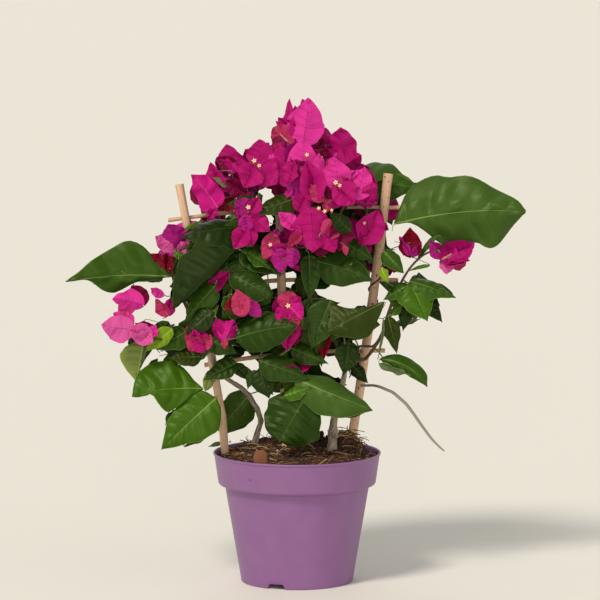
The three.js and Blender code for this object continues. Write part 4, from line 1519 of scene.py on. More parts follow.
bracts("blooms_upper_middle", [
    ("light", (9, 410, -8), (6, 452, -2), 31, (-0.05, -0.97, 0.2)),
    ("main", (17, 390, -14), (9, 428, -12), 27, (0.1, -0.98, 0.1)),
    ("salmon", (25, 388, -16), (14, 404, -20), 15, UPWARD, dict(cup=40)),
    ("main", (-9, 404, 2), (-21, 446, 4), 25, (-0.25, -0.95, 0.15)),
    ("purple", (4, 386, -4), (-5, 418, -6), 22, (-0.2, -0.97, 0.1)),
    ("main", (-8, 408, -4), (-2, 428, -6), 18, LEFTWARD),
    ("light", (24, 402, -10), (22, 436, -4), 22, RIGHTWARD),
    ("deep", (14, 415, 8), (26, 440, 10), 26, RIGHTWARD),
    ("deep", (-2, 396, 8), (-14, 418, 10), 24, LEFTWARD),
    ("light", (-2, 361, -12), (-19, 376, -16), 17, UPWARD),
    ("main", (2, 378, -6), (12, 396, -8), 18, FRONT),
])
bracts("blooms_upper_right", [
    ("light", (42, 402, -10), (38, 431, -8), 27, (0, -0.97, 0.25)),
    ("main", (42, 402, -12), (58, 384, -18), 27, (0.3, -0.93, -0.1)),
    ("main", (40, 401, -12), (27, 380, -18), 25, (-0.2, -0.95, -0.1)),
    ("light", (58, 392, -4), (68, 422, -2), 26, (-0.15, -0.96, 0.2)),
    ("main", (60, 393, -2), (81, 401, -6), 30, (0.3, -0.93, 0.1)),
    ("main", (56, 394, -8), (50, 412, -10), 15, LEFTWARD),
    ("deep", (50, 398, 6), (52, 424, 8), 24, FRONT),
    ("deep", (60, 388, 72), (74, 378, 70), 22, RIGHTWARD),
    ("main", (66, 374, 72), (82, 386, 70), 18, RIGHTWARD),
    ("salmon", (29, 388, -18), (31, 376, -20), 9, FRONT),
])
bracts("blooms_upper_left", [
    ("main", (-38, 424, -8), (-38, 450, -8), 28, (-0.1, -0.95, 0.3)),
    ("main", (-38, 424, -10), (-20, 404, -14), 28, (0.2, -0.96, -0.1)),
    ("main", (-41, 423, -8), (-53, 400, -10), 27, (-0.2, -0.96, -0.1)),
    ("light", (-36, 426, -6), (-20, 432, -8), 20, RIGHTWARD),
    ("main", (-50, 404, 0), (-61, 431, 2), 18, LEFTWARD),
    ("deep", (-53, 396, 2), (-72, 409, 0), 20, LEFTWARD),
    ("main", (-66, 418, 4), (-71, 445, 6), 25, (-0.1, -0.97, 0.2)),
    ("deep", (-64, 420, 10), (-80, 432, 10), 18, LEFTWARD),
    ("deep", (-44, 424, 8), (-52, 440, 10), 22, LEFTWARD),
    ("deep", (-46, 414, 8), (-43, 395, 6), 15, FRONT),
    ("deep", (-20, 414, 8), (-17, 394, 6), 17, FRONT),
])
bracts("bloom_left_tip", [
    ("rose", (-80, 381, -6), (-107, 414, -10), 0.95, (-0.12, -0.97, 0.2),
     dict(profile=((0, 6, 7), (0.08, 12, 14), (0.19, 14, 16.5), (0.33, 13.5, 14), (0.45, 13, 11.8),
                   (0.6, 12, 11.8), (0.7, 11, 11.4), (0.78, 9, 7), (0.87, 6, 3.5), (1, 0, 0)),
          fold=-24, cup=18, wave=2.4, ripples=2.6, buckle=2.4)),
    ("main", (-76, 400, 4), (-87, 427, 4), 20, LEFTWARD),
    ("crimson", (-63, 381, 4), (-85, 396, 6), 18, (0.2, -0.9, 0.3)),
    ("main", (-82, 380, -4), (-90, 367, -6), 11, DOWNWARD),
    ("deep", (-76, 384, 8), (-96, 402, 10), 26, LEFTWARD),
    ("main", (-78, 396, 6), (-66, 410, 8), 16, RIGHTWARD),
])

# %% Bracts in the middle
bracts("blooms_left_heart", [
    ("purple", (-49, 377, -6), (-62, 388, -8), 20, LEFTWARD),
    ("main", (-47, 378, -8), (-39, 392, -8), 17, RIGHTWARD),
    ("main", (-47, 372, -8), (-27, 358, -12), 17, (0.2, -0.95, -0.1)),
    ("main", (-52, 358, -4), (-64, 339, -8), 20, (-0.2, -0.96, 0)),
    ("main", (-50, 362, -6), (-45, 341, -8), 17, (0.1, -0.97, 0)),
    ("purple", (-53, 372, -4), (-50, 355, -6), 15, FRONT),
])
bracts("blooms_heart", [
    ("main", (14, 377, -8), (16, 335, -14), 37, (0.08, -0.98, 0.12), dict(fold=-26, cup=26)),
    ("salmon", (33, 368, -10), (25, 353, -12), 10, RIGHTWARD),
    ("deep", (45, 364, 6), (43, 336, 2), 24, (0.2, -0.95, 0)),
    ("main", (27, 357, -6), (38, 335, -10), 19, (0.3, -0.93, 0)),
    ("main", (0, 362, -6), (-7, 346, -10), 15, LEFTWARD),
    ("salmon", (3, 352, -10), (-9, 340, -14), 13, (-0.3, -0.93, 0.1), dict(cup=40)),
    ("salmon", (-23, 353, 4), (-34, 328, 2), 19, (-0.1, -0.97, 0.1), dict(fold=14)),
    ("purple", (-23, 348, 8), (-19, 360, 8), 10, RIGHTWARD),
    ("purple", (-18, 338, -4), (-16, 314, -8), 17, (-0.15, -0.97, 0.05)),
    ("purple", (-2, 338, -4), (-5, 319, -8), 15, (0.2, -0.96, 0)),
    ("main", (-22, 334, 0), (-26, 341, -2), 9, LEFTWARD),
    ("deep", (10, 372, 6), (-2, 352, 4), 26, FRONT),
    ("deep", (26, 350, 8), (24, 330, 6), 20, FRONT),
    ("salmon", (48, 342, -4), (50, 332, -6), 6, FRONT),
])
bracts("blooms_right_shoulder", [
    ("main", (67, 348, -4), (81, 379, -2), 30, (0.25, -0.95, 0.15)),
    ("main", (63, 342, -4), (55, 369, 0), 20, (-0.5, -0.85, 0.1), dict(fold=16)),
    ("deep", (66, 346, 6), (70, 372, 8), 26, FRONT),
    ("purple", (56, 365, 58), (73, 380, 58), 14, RIGHTWARD),
    ("main", (68, 350, -8), (65, 341, -8), 10, DOWNWARD),
    ("purple", (91, 371, 56), (99, 392, 58), 19, RIGHTWARD),
    ("main", (92, 372, 52), (104, 378, 54), 14, RIGHTWARD),
])
bracts("blooms_middle", [
    ("salmon", (-9, 280, -4), (-9, 296, -6), 22, (0, -0.93, 0.35), dict(wave=2.2)),
    ("rose", (-8, 280, -6), (5, 267, -10), 20, (0.2, -0.97, 0), dict(wave=2.2)),
    ("main", (-11, 280, -5), (-20, 265, -8), 17, (-0.2, -0.97, 0), dict(wave=2.2)),
    ("main", (-6, 282, -3), (4, 290, -4), 14, RIGHTWARD, dict(wave=2)),
    ("main", (-5, 267, 2), (-10, 235, -2), 22, (-0.1, -0.98, 0.05)),
    ("salmon", (-5, 269, -6), (-1, 256, -8), 13, (0.1, -0.95, 0.2), dict(cup=40)),
    ("deep", (-2, 264, 8), (-2, 240, 6), 18, RIGHTWARD),
])
bracts("leaves_centre_right", [
    ("crimson", (30, 253, 5), (27, 226, 3), 13, (-0.1, -0.98, 0.1), dict(cup=30)),
])

# %% Bracts at the sides
bracts("blooms_inner_left", [
    ("salmon", (-55, 272, -2), (-61, 298, -2), 20, (-0.15, -0.97, 0.1), dict(fold=16)),
    ("salmon", (-54, 274, 0), (-47, 290, 0), 14, RIGHTWARD, dict(fold=14)),
    ("purple", (-48, 285, 2), (-36, 270, 0), 14, (0.2, -0.96, 0.1)),
    ("crimson", (-66, 274, 4), (-68, 290, 4), 12, LEFTWARD),
])
bracts("blooms_middle_left", [
    ("salmon", (-98, 240, 0), (-113, 250, -4), 18, (-0.3, -0.94, 0.1), dict(fold=18)),
    ("salmon", (-97, 240, 0), (-87, 252, -2), 15, (0.4, -0.9, 0.1), dict(fold=18)),
    ("main", (-100, 244, 4), (-105, 258, 4), 10, UPWARD),
    ("main", (-103, 247, -4), (-94, 233, -6), 14, (0.1, -0.97, 0)),
    ("main", (-74, 247, 0), (-82, 268, -2), 18, (-0.25, -0.95, 0.1), dict(cup=36)),
    ("rose", (-73, 247, -1), (-64, 267, -2), 19, (0.3, -0.94, 0.1), dict(cup=36)),
    ("deep", (-73, 248, 6), (-73, 268, 8), 20, FRONT),
    ("salmon", (-73, 247, -3), (-74, 237, -4), 7, FRONT),
])
bracts("leaves_centre", [
    ("main", (-95, 299, 6), (-66, 315, 2), 21, (0, -0.95, 0.3)),
    ("deep", (-90, 306, 10), (-72, 322, 8), 20, (0, -0.9, 0.3)),
    ("main", (-76, 317, 4), (-63, 325, 2), 9, UPWARD),
    ("salmon", (-96, 290, 8), (-84, 284, 6), 10, FRONT),
])
bracts("blooms_left_upper", [
    ("purple", (-118, 334, -2), (-130, 364, -6), 29, (-0.05, -0.97, 0.2)),
    ("pink", (-121, 340, 0), (-143, 352, -2), 20, (-0.2, -0.96, 0.1)),
    ("purple", (-119, 338, 2), (-106, 358, 2), 24, (0.2, -0.96, 0.1)),
    ("pink", (-118, 336, -4), (-107, 345, -6), 15, (0.2, -0.96, 0.1)),
    ("salmon", (-118, 338, 0), (-106, 345, -2), 12, RIGHTWARD),
    ("crimson", (-128, 319, 2), (-148, 334, 0), 13, (-0.1, -0.95, 0.3)),
    ("crimson", (-130, 316, 4), (-132, 338, 4), 11, (0.4, -0.9, 0), dict(fold=20)),
    ("deep", (-120, 342, 8), (-122, 358, 10), 22, FRONT),
])
bracts("blooms_left", [
    ("light", (-157, 282, -2), (-187, 288, -6), 24, (-0.05, -0.93, -0.3), dict(fold=-26, cup=26)),
    ("deep", (-156, 283, 4), (-167, 302, 4), 22, (0, -0.9, 0.4)),
    ("salmon", (-131, 272, -2), (-143, 289, -4), 16, LEFTWARD, dict(fold=16)),
    ("main", (-130, 272, 0), (-127, 291, 0), 14, RIGHTWARD, dict(fold=16)),
    ("light", (-135, 292, 10), (-148, 299, 8), 10, UPWARD),
])
bracts("blooms_left_low", [
    ("pink", (-167, 257, -4), (-198, 262, -8), 28, (-0.06, -0.97, 0.2), dict(fold=-26, cup=26)),
    ("light", (-168, 260, 4), (-186, 274, 4), 18, LEFTWARD),
    ("pink", (-148, 250, -4), (-171, 257, -6), 22, (-0.1, -0.96, 0.2)),
    ("pink", (-150, 253, -6), (-158, 240, -8), 17, (0, -0.97, 0)),
    ("light", (-150, 256, -2), (-141, 250, -4), 13, RIGHTWARD),
    ("light", (-152, 256, 4), (-156, 265, 4), 14, UPWARD),
])
bracts("bloom_right_inner", [
    ("crimson", (115, 333, 2), (114, 361, 0), 26, (0, -0.98, 0.1), dict(cup=56, fold=10)),
    ("purple", (113, 333, -4), (103, 352, -2), 13, (-0.8, -0.6, 0), dict(fold=30)),
    ("purple", (116, 333, -4), (126, 346, -2), 12, (0.8, -0.6, 0), dict(fold=30)),
    ("deep", (116, 334, 8), (122, 352, 8), 14, RIGHTWARD),
])
bracts("blooms_right", [
    ("main", (149, 327, -2), (177, 343, -8), 27, (0.15, -0.93, 0.3),
     dict(cup=60, fold=10, fullness=(0.45, 0.45), wave=0.4)),
    ("purple", (149, 331, 0), (134, 348, 0), 20, LEFTWARD, dict(fold=18)),
    ("pink", (152, 328, -2), (151, 313, -6), 14, (0, -0.98, 0.1)),
    ("salmon", (154, 328, 4), (172, 336, 2), 22, (0, -0.9, 0.4)),
    ("light", (154, 323, -6), (175, 327, -10), 14, (0.1, -0.9, 0.4), dict(cup=50)),
])
print("bracts set by hand:", sum(kind == "bract" for _, kind, _, _ in bases))

# %% [markdown]
# ## Flowers
#
# The true flowers are small: a slim tube about 15 mm long, tinged with pink, that opens into a
# cream star with five notched lobes. Each is a short tube and a shallow star.

# %% Flowers
FLOWER_COLOURS = {"cream_petal": "#f0d79a", "yellow_throat": "#dca03a", "rosy_tube": "#c9566a",
                  "green_pink_tube": "#b98a72"}
flower_batch = Batch("flowers", "bract", [new_material(name, colour, 0.6)[0]
                                          for name, colour in FLOWER_COLOURS.items()])
OPEN_TUBE = [0.5, 1.15, 1.25, 0.85, 0.8, 1.2]  # radii from foot to mouth
BUD = [0.4, 0.9, 0.8, 0.45, 0.7, 0.4]
STAR = 20  # points round a star of five notched lobes


def flower(foot, mouth, width, open_star=True, finish="rosy_tube"):
    """One flower from its foot to its mouth; a closed one is a bud."""
    foot, mouth = np.asarray(foot, float), np.asarray(mouth, float)
    axis = unit(mouth - foot)
    bow = unit(np.cross(axis, Z + 0.3 * X)) * 0.06 * np.linalg.norm(mouth - foot)
    share = np.linspace(0, 1, 6)[:, None]
    path = foot + (mouth - foot) * share + bow * np.sin(np.pi * share)
    tube(flower_batch, path, OPEN_TUBE if open_star else BUD, 7, finish, dome=0.6)
    if not open_star:
        return
    side = unit(np.cross(axis, Z + 0.2 * Y))
    other = np.cross(axis, side)
    angles = np.arange(STAR) / STAR * TURN
    five = np.cos(5 * angles)
    lobes = width / 2 * (0.72 + 0.28 * five) * (1 - 0.12 * (np.cos(10 * angles) > 0.5))
    star = []
    for reach, rise in [(0.22, 0.2), (0.6, 0.9), (1.0, 0.6 + 0.3 * five)]:
        radius = lobes * reach
        circle = (mouth + (np.cos(angles) * radius)[:, None] * side
                  + (np.sin(angles) * radius)[:, None] * other)
        star.append(circle + axis * np.broadcast_to(rise, angles.shape)[:, None])
    front = np.vstack(star)
    back = front - axis * 0.3
    points = np.vstack([front, back, [mouth + axis * 0.1], [mouth - axis * 0.4]])
    ring = np.arange(STAR)
    after = (ring + 1) % STAR
    outer, behind, middles = 2 * STAR, 3 * STAR, 6 * STAR
    petals = np.concatenate([
        stack(start + ring, start + STAR + ring, start + STAR + after, start + after)
        for start in (0, STAR)])
    rear_edge = outer + behind
    edge = stack(outer + ring, rear_edge + ring, rear_edge + after, outer + after)
    throat = stack(ring, after, np.full(STAR, middles))
    closed = stack(behind + after, behind + ring, np.full(STAR, middles + 1))
    flower_batch.add(points, [
        (petals, "cream_petal"), (petals[:, ::-1] + behind, "cream_petal"), (edge, "cream_petal"),
        (throat, "yellow_throat"), (closed, "cream_petal"),
    ])


# %% Flowers that are seen
FLOWERS = [
    # mass, across, height, distance behind the middle of the mass, width of the star
    ("blooms_upper_left", -43, 428, -18, 6), ("blooms_upper_left", -38, 423, -19, 5),
    ("blooms_upper_right", 39, 406, -22, 6), ("blooms_upper_right", 43, 403, -21, 5),
    ("blooms_upper_right", 35, 378, -24, 4), ("blooms_upper_right", 28, 377, -24, 5),
    ("blooms_upper_right", 22, 380, -26, 5), ("blooms_top_right", 24, 431, -22, 5),
    ("blooms_top_right", 23, 425, -22, 4), ("blooms_top_right", 48, 420, -16, 5),
    ("blooms_upper_middle", 10, 434, -22, 5), ("blooms_left_heart", -49, 381, -16, 6),
    ("blooms_middle", -9, 281, -14, 6), ("blooms_right_shoulder", 68, 365, -12, 4),
    ("blooms_heart", -27, 343, -6, 5),
]
BUDS = [
    # mass, foot, tip, distance behind the middle of the mass
    ("blooms_right", (146, 328), (156, 334), -14), ("blooms_tip", (-9, 447), (-17, 455), -16),
]
TUBE_WAY = [1.5, 13, -6]  # from the star back to the foot of its tube
for node, x, z, behind, width in FLOWERS:
    mouth = sight(x, z, node_middle(node)[1] + behind)
    flower(mouth + TUBE_WAY, mouth, width)
for node, foot, mouth, behind in BUDS:
    depth = node_middle(node)[1] + behind
    flower(sight(*foot, depth), sight(*mouth, depth - 3), 0, open_star=False,
           finish="green_pink_tube")

# %% [markdown]
# ## What may be covered
#
# Seen from the front the crown is open: light shows between sprays, along the canes and round
# the stems. A map of the front view keeps it so. Each cell knows whether a mass of the frame
# lies behind it and how near the nearest leaf set one by one, cane or stem is. A new leaf must
# stay inside the masses and behind what is meant to be seen. Narrow gaps are listed.

# %% Map of the front view
CELL = 2.0
MAP_LEFT, MAP_FLOOR = -260.0, 100.0
MAP_SHAPE = (260, 210)
FAR_AWAY = 1000.0
LIMB_COVER = 4  # new leaves may pass a cane or stem, but hardly further in front than this
SAMPLES = 6000
GAPS = [
    # left, right, low, high, in mm on the middle plane
    (-32, -22, 391, 404), (-44, -38, 345, 356), (-29, -24, 364, 371), (-35, -20, 290, 315),
    (-39, -20, 269, 283), (-72, -49, 268, 282), (20, 47, 288, 300), (43, 69, 277, 292),
    (63, 73, 280, 302), (22, 28, 250, 261), (100, 121, 293, 318), (99, 137, 322, 364),
    (28, 43, 214, 241), (-112, -40, 186, 225), (22, 40, 150, 176), (-30, -16, 318, 330),
    (54, 60, 326, 338), (84, 96, 306, 330), (-88, -76, 316, 324), (58, 90, 236, 246),
    (-98, -60, 150, 186), (96, 140, 238, 262), (-132, -112, 262, 290), (-160, -140, 268, 276),
]


def map_cells(points):
    """Indices of the cells that points fall in, kept inside the map."""
    seen = seen_at(np.asarray(points))
    column = np.clip(((seen[..., 0] - MAP_LEFT) / CELL).astype(int), 0, MAP_SHAPE[0] - 1)
    row = np.clip(((seen[..., 1] - MAP_FLOOR) / CELL).astype(int), 0, MAP_SHAPE[1] - 1)
    return column, row


def lowest_around(grid):
    """Each cell takes the lowest value of itself and its neighbours."""
    padded = np.pad(grid, 1, mode="edge")
    wide, high = grid.shape
    around = [padded[i:i + wide, j:j + high] for i in range(3) for j in range(3)]
    return np.min(around, axis=0)


def sample_surface(node, count, dice):
    """Points on a node's surface and their outward normals, spread evenly by area, in mm."""
    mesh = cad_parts[node].data
    mesh.calc_loop_triangles()
    corners = np.array([vertex.co for vertex in mesh.vertices]) / MM
    faces = np.array([triangle.vertices[:] for triangle in mesh.loop_triangles])
    a, b, c = corners[faces[:, 0]], corners[faces[:, 1]], corners[faces[:, 2]]
    cross = np.cross(b - a, c - a)
    area = np.linalg.norm(cross, axis=1) / 2
    chosen = dice.choice(len(faces), count, p=area / area.sum())
    u, v = dice.uniform(size=(2, count, 1))
    flip = u + v > 1
    u, v = np.where(flip, 1 - u, u), np.where(flip, 1 - v, v)
    points = a[chosen] + (b - a)[chosen] * u + (c - a)[chosen] * v
    return points, unit(cross[chosen]), area.sum()


# %% Cells that may be covered
leaf_nodes = [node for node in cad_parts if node.startswith("lea") and node != "leaf_dry"]
bloom_nodes = [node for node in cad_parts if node.startswith("bloom")]
dice = chance(5)
may_cover = np.zeros(MAP_SHAPE, bool)
for node in leaf_nodes + bloom_nodes:
    may_cover[map_cells(sample_surface(node, SAMPLES, dice)[0])] = True
across = MAP_LEFT + (np.arange(MAP_SHAPE[0]) + 0.5) * CELL
height = MAP_FLOOR + (np.arange(MAP_SHAPE[1]) + 0.5) * CELL
for left, right, low, high in GAPS:
    column, row = (across > left) & (across < right), (height > low) & (height < high)
    may_cover[np.ix_(column, row)] = False

nearest = np.full(MAP_SHAPE, FAR_AWAY)
for points in hero_points:
    grid = points[:, None, :] if points.ndim == 2 else points
    np.minimum.at(nearest, map_cells(grid[:, 0]), grid[:, 0, 1])
hand_set = nearest < FAR_AWAY
may_cover |= hand_set
nearest = lowest_around(nearest)
nearest_blade = nearest.copy()
for node in ("cane_left", "cane_middle", "cane_right", "stem_left", "stem_right"):
    points = sample_surface(node, 4000, dice)[0]
    np.minimum.at(nearest, map_cells(points), points[:, 1] - LIMB_COVER)
print("leaves may cover", int(may_cover.sum()), "cells,", int(hand_set.sum()), "behind hand-set ones")

# %% [markdown]
# ## Leaves and clusters inside the masses
#
# The rest of the crown grows by a seeded rule. Places are dealt out evenly over the skin of each
# mass. A leaf lies along the skin there, its tip lower and further out, its face turned outwards
# and up to the light. Where it would close a gap or stand before a leaf set one by one, a smaller
# one is tried, and then none.

# %% Where a hidden leaf fits
BOX_SLACK = 5.0
OVER_BED, PAST_RIM = 8, 4
PLANT_AXIS = np.array([0.0, 22.0])
frame_low, frame_high = np.array(CAD_LOW) / MM, np.array(CAD_HIGH) / MM


def fits(points, tolerance=0.03):
    """Whether a blade keeps to the map of the front view and to the frame's box."""
    if (points < frame_low - BOX_SLACK).any() or (points > frame_high + BOX_SLACK).any():
        return False
    radius = np.hypot(points[:, 0], points[:, 1])
    if ((points[:, 2] < BED_EDGE + OVER_BED) & (radius < RIM + PAST_RIM)).any():
        return False
    column, row = map_cells(points)
    outside = ~may_cover[column, row]
    before = points[:, 1] < nearest[column, row] + 1.0
    return (outside | before).mean() <= tolerance


def outward_frame(place, normal, dice, droop):
    """A direction along the skin, drooping and outward, and the way a blade there faces."""
    radial = unit([*(place[:2] - PLANT_AXIS), 0])
    along_skin = radial * 0.6 - Z * droop + dice.normal(0, 0.45, 3)
    along_skin = unit(along_skin - normal * (along_skin @ normal) * 0.75)
    facing = unit(normal + Z * 0.45 + dice.normal(0, 0.22, 3))
    return along_skin, facing


# %% One hidden leaf, one hidden cluster
inner_leaf_batch = Batch("leaves_inner", "leaf", leaf_finishes + stalk_finishes)
inner_bract_batch = Batch("bracts_inner", "bract", bract_finishes)
TONE_SHARES = {"deep": 0.24, "dark": 0.34, "mid": 0.24, "fresh": 0.09, "olive": 0.07, "lime": 0.02}
# the light tone is painted light and the deep tone painted shade, dealt out at random with the rest
CLUSTER_TONES = ["light", "main", "main", "main", "deep", "purple", "salmon"]
LEAF_LENGTHS = (40, 66)
NEXT_TRY = 0.72  # each leaf that doesn't fit is tried again at this share of its length
BRACT_WIDTH = 0.74
HIDDEN_STAR = 5.4


def grow_leaf(node, place, normal, dice):
    """A leaf along the skin of a mass, if it fits in one of three sizes."""
    size = dice.uniform(*LEAF_LENGTHS)
    for attempt in range(3):
        heading, facing = outward_frame(place, normal, dice, 0.5)
        middle = place - normal * dice.uniform(1, 9)
        start, end = middle - heading * size * 0.52, middle + heading * size * 0.48
        width = size * dice.uniform(0.54, 0.68)
        shape = dict(layout="plain" if attempt else "small", fold=dice.uniform(-16, 14),
                     cup=dice.uniform(-24, 0), bend=dice.uniform(6, 34), hook=dice.uniform(-6, 16),
                     twist=dice.uniform(-24, 24), sickle=dice.uniform(-18, 18),
                     wave=dice.uniform(0.3, 1.4), phase=dice.uniform(0, 7),
                     quilt=dice.uniform(0.4, 0.9),
                     fullness=(dice.uniform(0.55, 0.75), dice.uniform(0.95, 1.3)))
        if fits(blade(start, end, width, facing, **shape)[0]):
            tone = pick(TONE_SHARES, dice)
            add_blade(inner_leaf_batch, tone, "leaf", start, end, width, facing, **shape)
            bases.append((node, "leaf", start, heading))
            return True
        size *= NEXT_TRY
    return False


def grow_cluster(node, place, normal, dice, sizes=(24, 34)):
    """Three bracts round a point, with their flowers."""
    size = dice.uniform(*sizes)
    axis = unit(normal + Z * 0.35 + dice.normal(0, 0.3, 3))
    heart = place - normal * size * 0.75
    side = unit(np.cross(axis, dice.normal(size=3)))
    tone = CLUSTER_TONES[dice.integers(len(CLUSTER_TONES))]
    spin, opening = dice.uniform(0, TURN), math.radians(dice.uniform(26, 58))
    grown = 0
    for number in range(3):
        angle = spin + number * TURN / 3 + dice.uniform(-0.2, 0.2)
        out = math.cos(angle) * side + math.sin(angle) * np.cross(axis, side)
        heading = unit(axis * math.cos(opening) + out * math.sin(opening))
        facing = unit(axis * math.sin(opening) - out * math.cos(opening))
        start, end = heart + out * 1.5, heart + heading * size * dice.uniform(0.9, 1.1)
        shape = {**folded(int(dice.integers(1000))), **BRACT, "layout": "small"}
        width = size * BRACT_WIDTH
        if fits(blade(start, end, width, facing, **shape)[0], 0.06):
            add_blade(inner_bract_batch, tone, "bract", start, end, width, facing, **shape)
            grown += 1
    if grown:
        bases.append((node, "bract", heart, axis))
        mouth = heart + axis * size * 0.5
        if grown == 3 and (heart[1] > 10 or heart[2] > 370) and fits(mouth[None], 0):
            for open_star in (True, False):
                lean = unit(axis + 0.35 * dice.normal(size=3))
                flower(heart, heart + lean * size * 0.5, HIDDEN_STAR, open_star)
    return grown


# %% Growth over the skins
LEAF_AREA, CLUSTER_AREA = 300.0, 520.0  # skin for each leaf or cluster, in square mm
BACK_DENSITY, BACK_DEPTH = 1.5, 35  # masses this far back get more leaves
grown = 0
for node in leaf_nodes + bloom_nodes:
    dice = chance(sum(map(ord, node)))
    leafy = node in leaf_nodes
    density = BACK_DENSITY if leafy and node_middle(node)[1] > BACK_DEPTH else 1.0
    area = sample_surface(node, 2, dice)[2]
    tries = int(area / (LEAF_AREA if leafy else CLUSTER_AREA) * density)
    places, normals, _ = sample_surface(node, tries, dice)
    grow = grow_leaf if leafy else grow_cluster
    grown += sum(grow(node, place, normal, dice) for place, normal in zip(places, normals))
print("grown in the masses:", grown)

# %% [markdown]
# ### Between front and back
#
# Round the canes leaves are sparser. They stand on the lines that join the front and the back
# masses and look out to the side, where they are seen from.

# %% Leaves between front and back
BETWEEN_LEAVES, BETWEEN_TRIES = 92, 1500
WIDEST_GAP = 90  # only masses that lie this near each other, seen from the front, are joined
BLOOM_HEIGHT = 350
dice = chance(41)
front_nodes = [node for node in leaf_nodes + bloom_nodes if node_middle(node)[1] < 20]
back_nodes = [node for node in leaf_nodes + bloom_nodes if node_middle(node)[1] > 50]
between = 0
for number in range(BETWEEN_TRIES):
    if between >= BETWEEN_LEAVES:
        break
    near = node_middle(front_nodes[dice.integers(len(front_nodes))])
    far = node_middle(back_nodes[dice.integers(len(back_nodes))])
    if np.linalg.norm((near - far)[[0, 2]]) > WIDEST_GAP:
        continue
    place = near + (far - near) * dice.uniform(0.15, 0.85) + dice.normal(0, 12, 3)
    outward = unit([place[0] + dice.normal(0, 20), dice.normal(0, 14), dice.normal(6, 10)])
    if place[2] > BLOOM_HEIGHT and number % 3 == 0:
        between += grow_cluster(back_nodes[0], place, outward, dice, (24, 32)) > 0
    else:
        between += grow_leaf(back_nodes[0], place, outward, dice)
print("grown between front and back:", between)

# %% [markdown]
# ## Twigs
#
# Every leaf and cluster hangs on something. Twigs are found by growing them: a few main shoots
# along chosen ways, a twig to each mass, and then, nearest first, each stalk joins the closest
# wood. A twig is as thick as what it carries: its section is about the sum of those above it, so
# its radius is a power of the number of leaves, which is called the pipe model.

# %% Twig network
TWIG_STEP = 5.0
TWIG_SAG = 0.08
FAR_FROM_WOOD = 16
SHOOTS = [
    # (across, height, depth) along each main shoot, from old wood outward
    [(50, 222, 9), (66, 226, 30), (72, 230, 27), (84, 248, 16), (90, 266, 10), (99, 292, 6),
     (113, 318, 2), (128, 333, -2), (142, 338, -4)],
    [(99, 292, 6), (100, 320, 8), (99, 342, 8), (96, 357, 5)],
    [(12, 322, 10), (10, 350, 4), (6, 380, 0), (2, 410, 2), (2, 440, 4)],
    [(12, 322, 10), (30, 352, 6), (46, 380, 0), (50, 398, 0)],
    [(30, 352, 6), (58, 352, 10), (70, 372, 14), (66, 390, 10)],
    [(-89, 234, 0), (-98, 250, 4), (-110, 276, 6), (-122, 304, 6), (-124, 330, 4)],
    [(-89, 234, 0), (-78, 262, 8), (-66, 290, 10), (-58, 320, 8), (-56, 352, 4), (-62, 384, 4),
     (-64, 410, 4)],
    [(-56, 352, 4), (-44, 384, 2), (-40, 412, 2)],
    [(-69, 203, 13), (-84, 197, 8), (-100, 195, 0)],
    [(-98, 250, 4), (-124, 262, 0), (-142, 272, -6), (-156, 281, -10)],
    [(-124, 262, 0), (-140, 254, -8), (-150, 252, -12)],
    [(-66, 200, 10), (-80, 190, 6), (-92, 189, 4), (-103, 196, 0)],
    [(-62, 206, 12), (-78, 186, 14), (-92, 184, 12), (-99, 193, 8)],
    [(78, 270, 26), (66, 282, 18), (56, 296, 12), (48, 304, 8)],
    [(60, 290, 14), (46, 296, 10), (38, 288, 6)],
]
dice = chance(17)


class Wood:
    """All wood so far: its points, the point that each one grows from, and its twigs."""

    def __init__(self, points):
        self.points = points
        self.parents = [-1] * len(points)
        self.twigs = []

    def distances(self, place):
        return np.linalg.norm(self.points - place, axis=1)

    def grow(self, root, way):
        """Adds a twig along a way of points, the first of which grows from the root."""
        row = list(range(len(self.points), len(self.points) + len(way)))
        self.points = np.vstack([self.points, way])
        self.parents += [root, *row][:len(row)]
        self.twigs.append((root, row))


wood = Wood(np.vstack([way for way, _ in limb_ways.values()]))


def grow_twig(end, arriving, low_weight=0.5, hidden=0.08):
    """Joins a point to the nearest wood with an eased curve; hidden bows it to the back."""
    above = np.maximum(0, wood.points[:, 2] - end[2])
    root = int((wood.distances(end) + low_weight * above).argmin())
    start = wood.points[root]
    gap = np.linalg.norm(end - start)
    if gap < 1.0:
        wood.grow(root, np.empty((0, 3)))
        return
    leaving = unit(end - start + dice.normal(0, 0.12, 3) * gap)
    first = start + leaving * gap * 0.35 + Y * gap * hidden
    second = end - arriving * gap * 0.32 + Y * gap * hidden - Z * gap * TWIG_SAG
    t = np.linspace(0, 1, max(3, int(gap / TWIG_STEP) + 2))[1:, None]
    way = ((1 - t) ** 3 * start + 3 * (1 - t) ** 2 * t * first
           + 3 * (1 - t) * t ** 2 * second + t ** 3 * end)
    wood.grow(root, way)


# %% Shoots, then a twig to each mass, then the stalks
for shoot in SHOOTS:
    way = smooth_path([sight(x, z, y) for x, z, y in shoot], TWIG_STEP)
    wood.grow(int(wood.distances(way[0]).argmin()), way[1:])
crowns = sorted(leaf_nodes + bloom_nodes, key=lambda node: wood.distances(node_middle(node)).min())
for node in crowns:
    middle = node_middle(node)
    if wood.distances(middle).min() > FAR_FROM_WOOD:
        grow_twig(middle, unit(middle - [*PLANT_AXIS, middle[2] - 60]), 0.3)
for node, kind, start, heading in sorted(bases, key=lambda base: wood.distances(base[2]).min()):
    grow_twig(start, heading, hidden=0.4 if kind == "bract" else 0.08)
print("the wood has", len(wood.points), "points in", len(wood.twigs), "twigs")

# %% [markdown]
# ### Thickness
#
# Each stalk end is one load, and loads add up from the tips to the roots. A stalk that would
# cross the face of a blade set one by one runs behind it, unseen, and is left out.

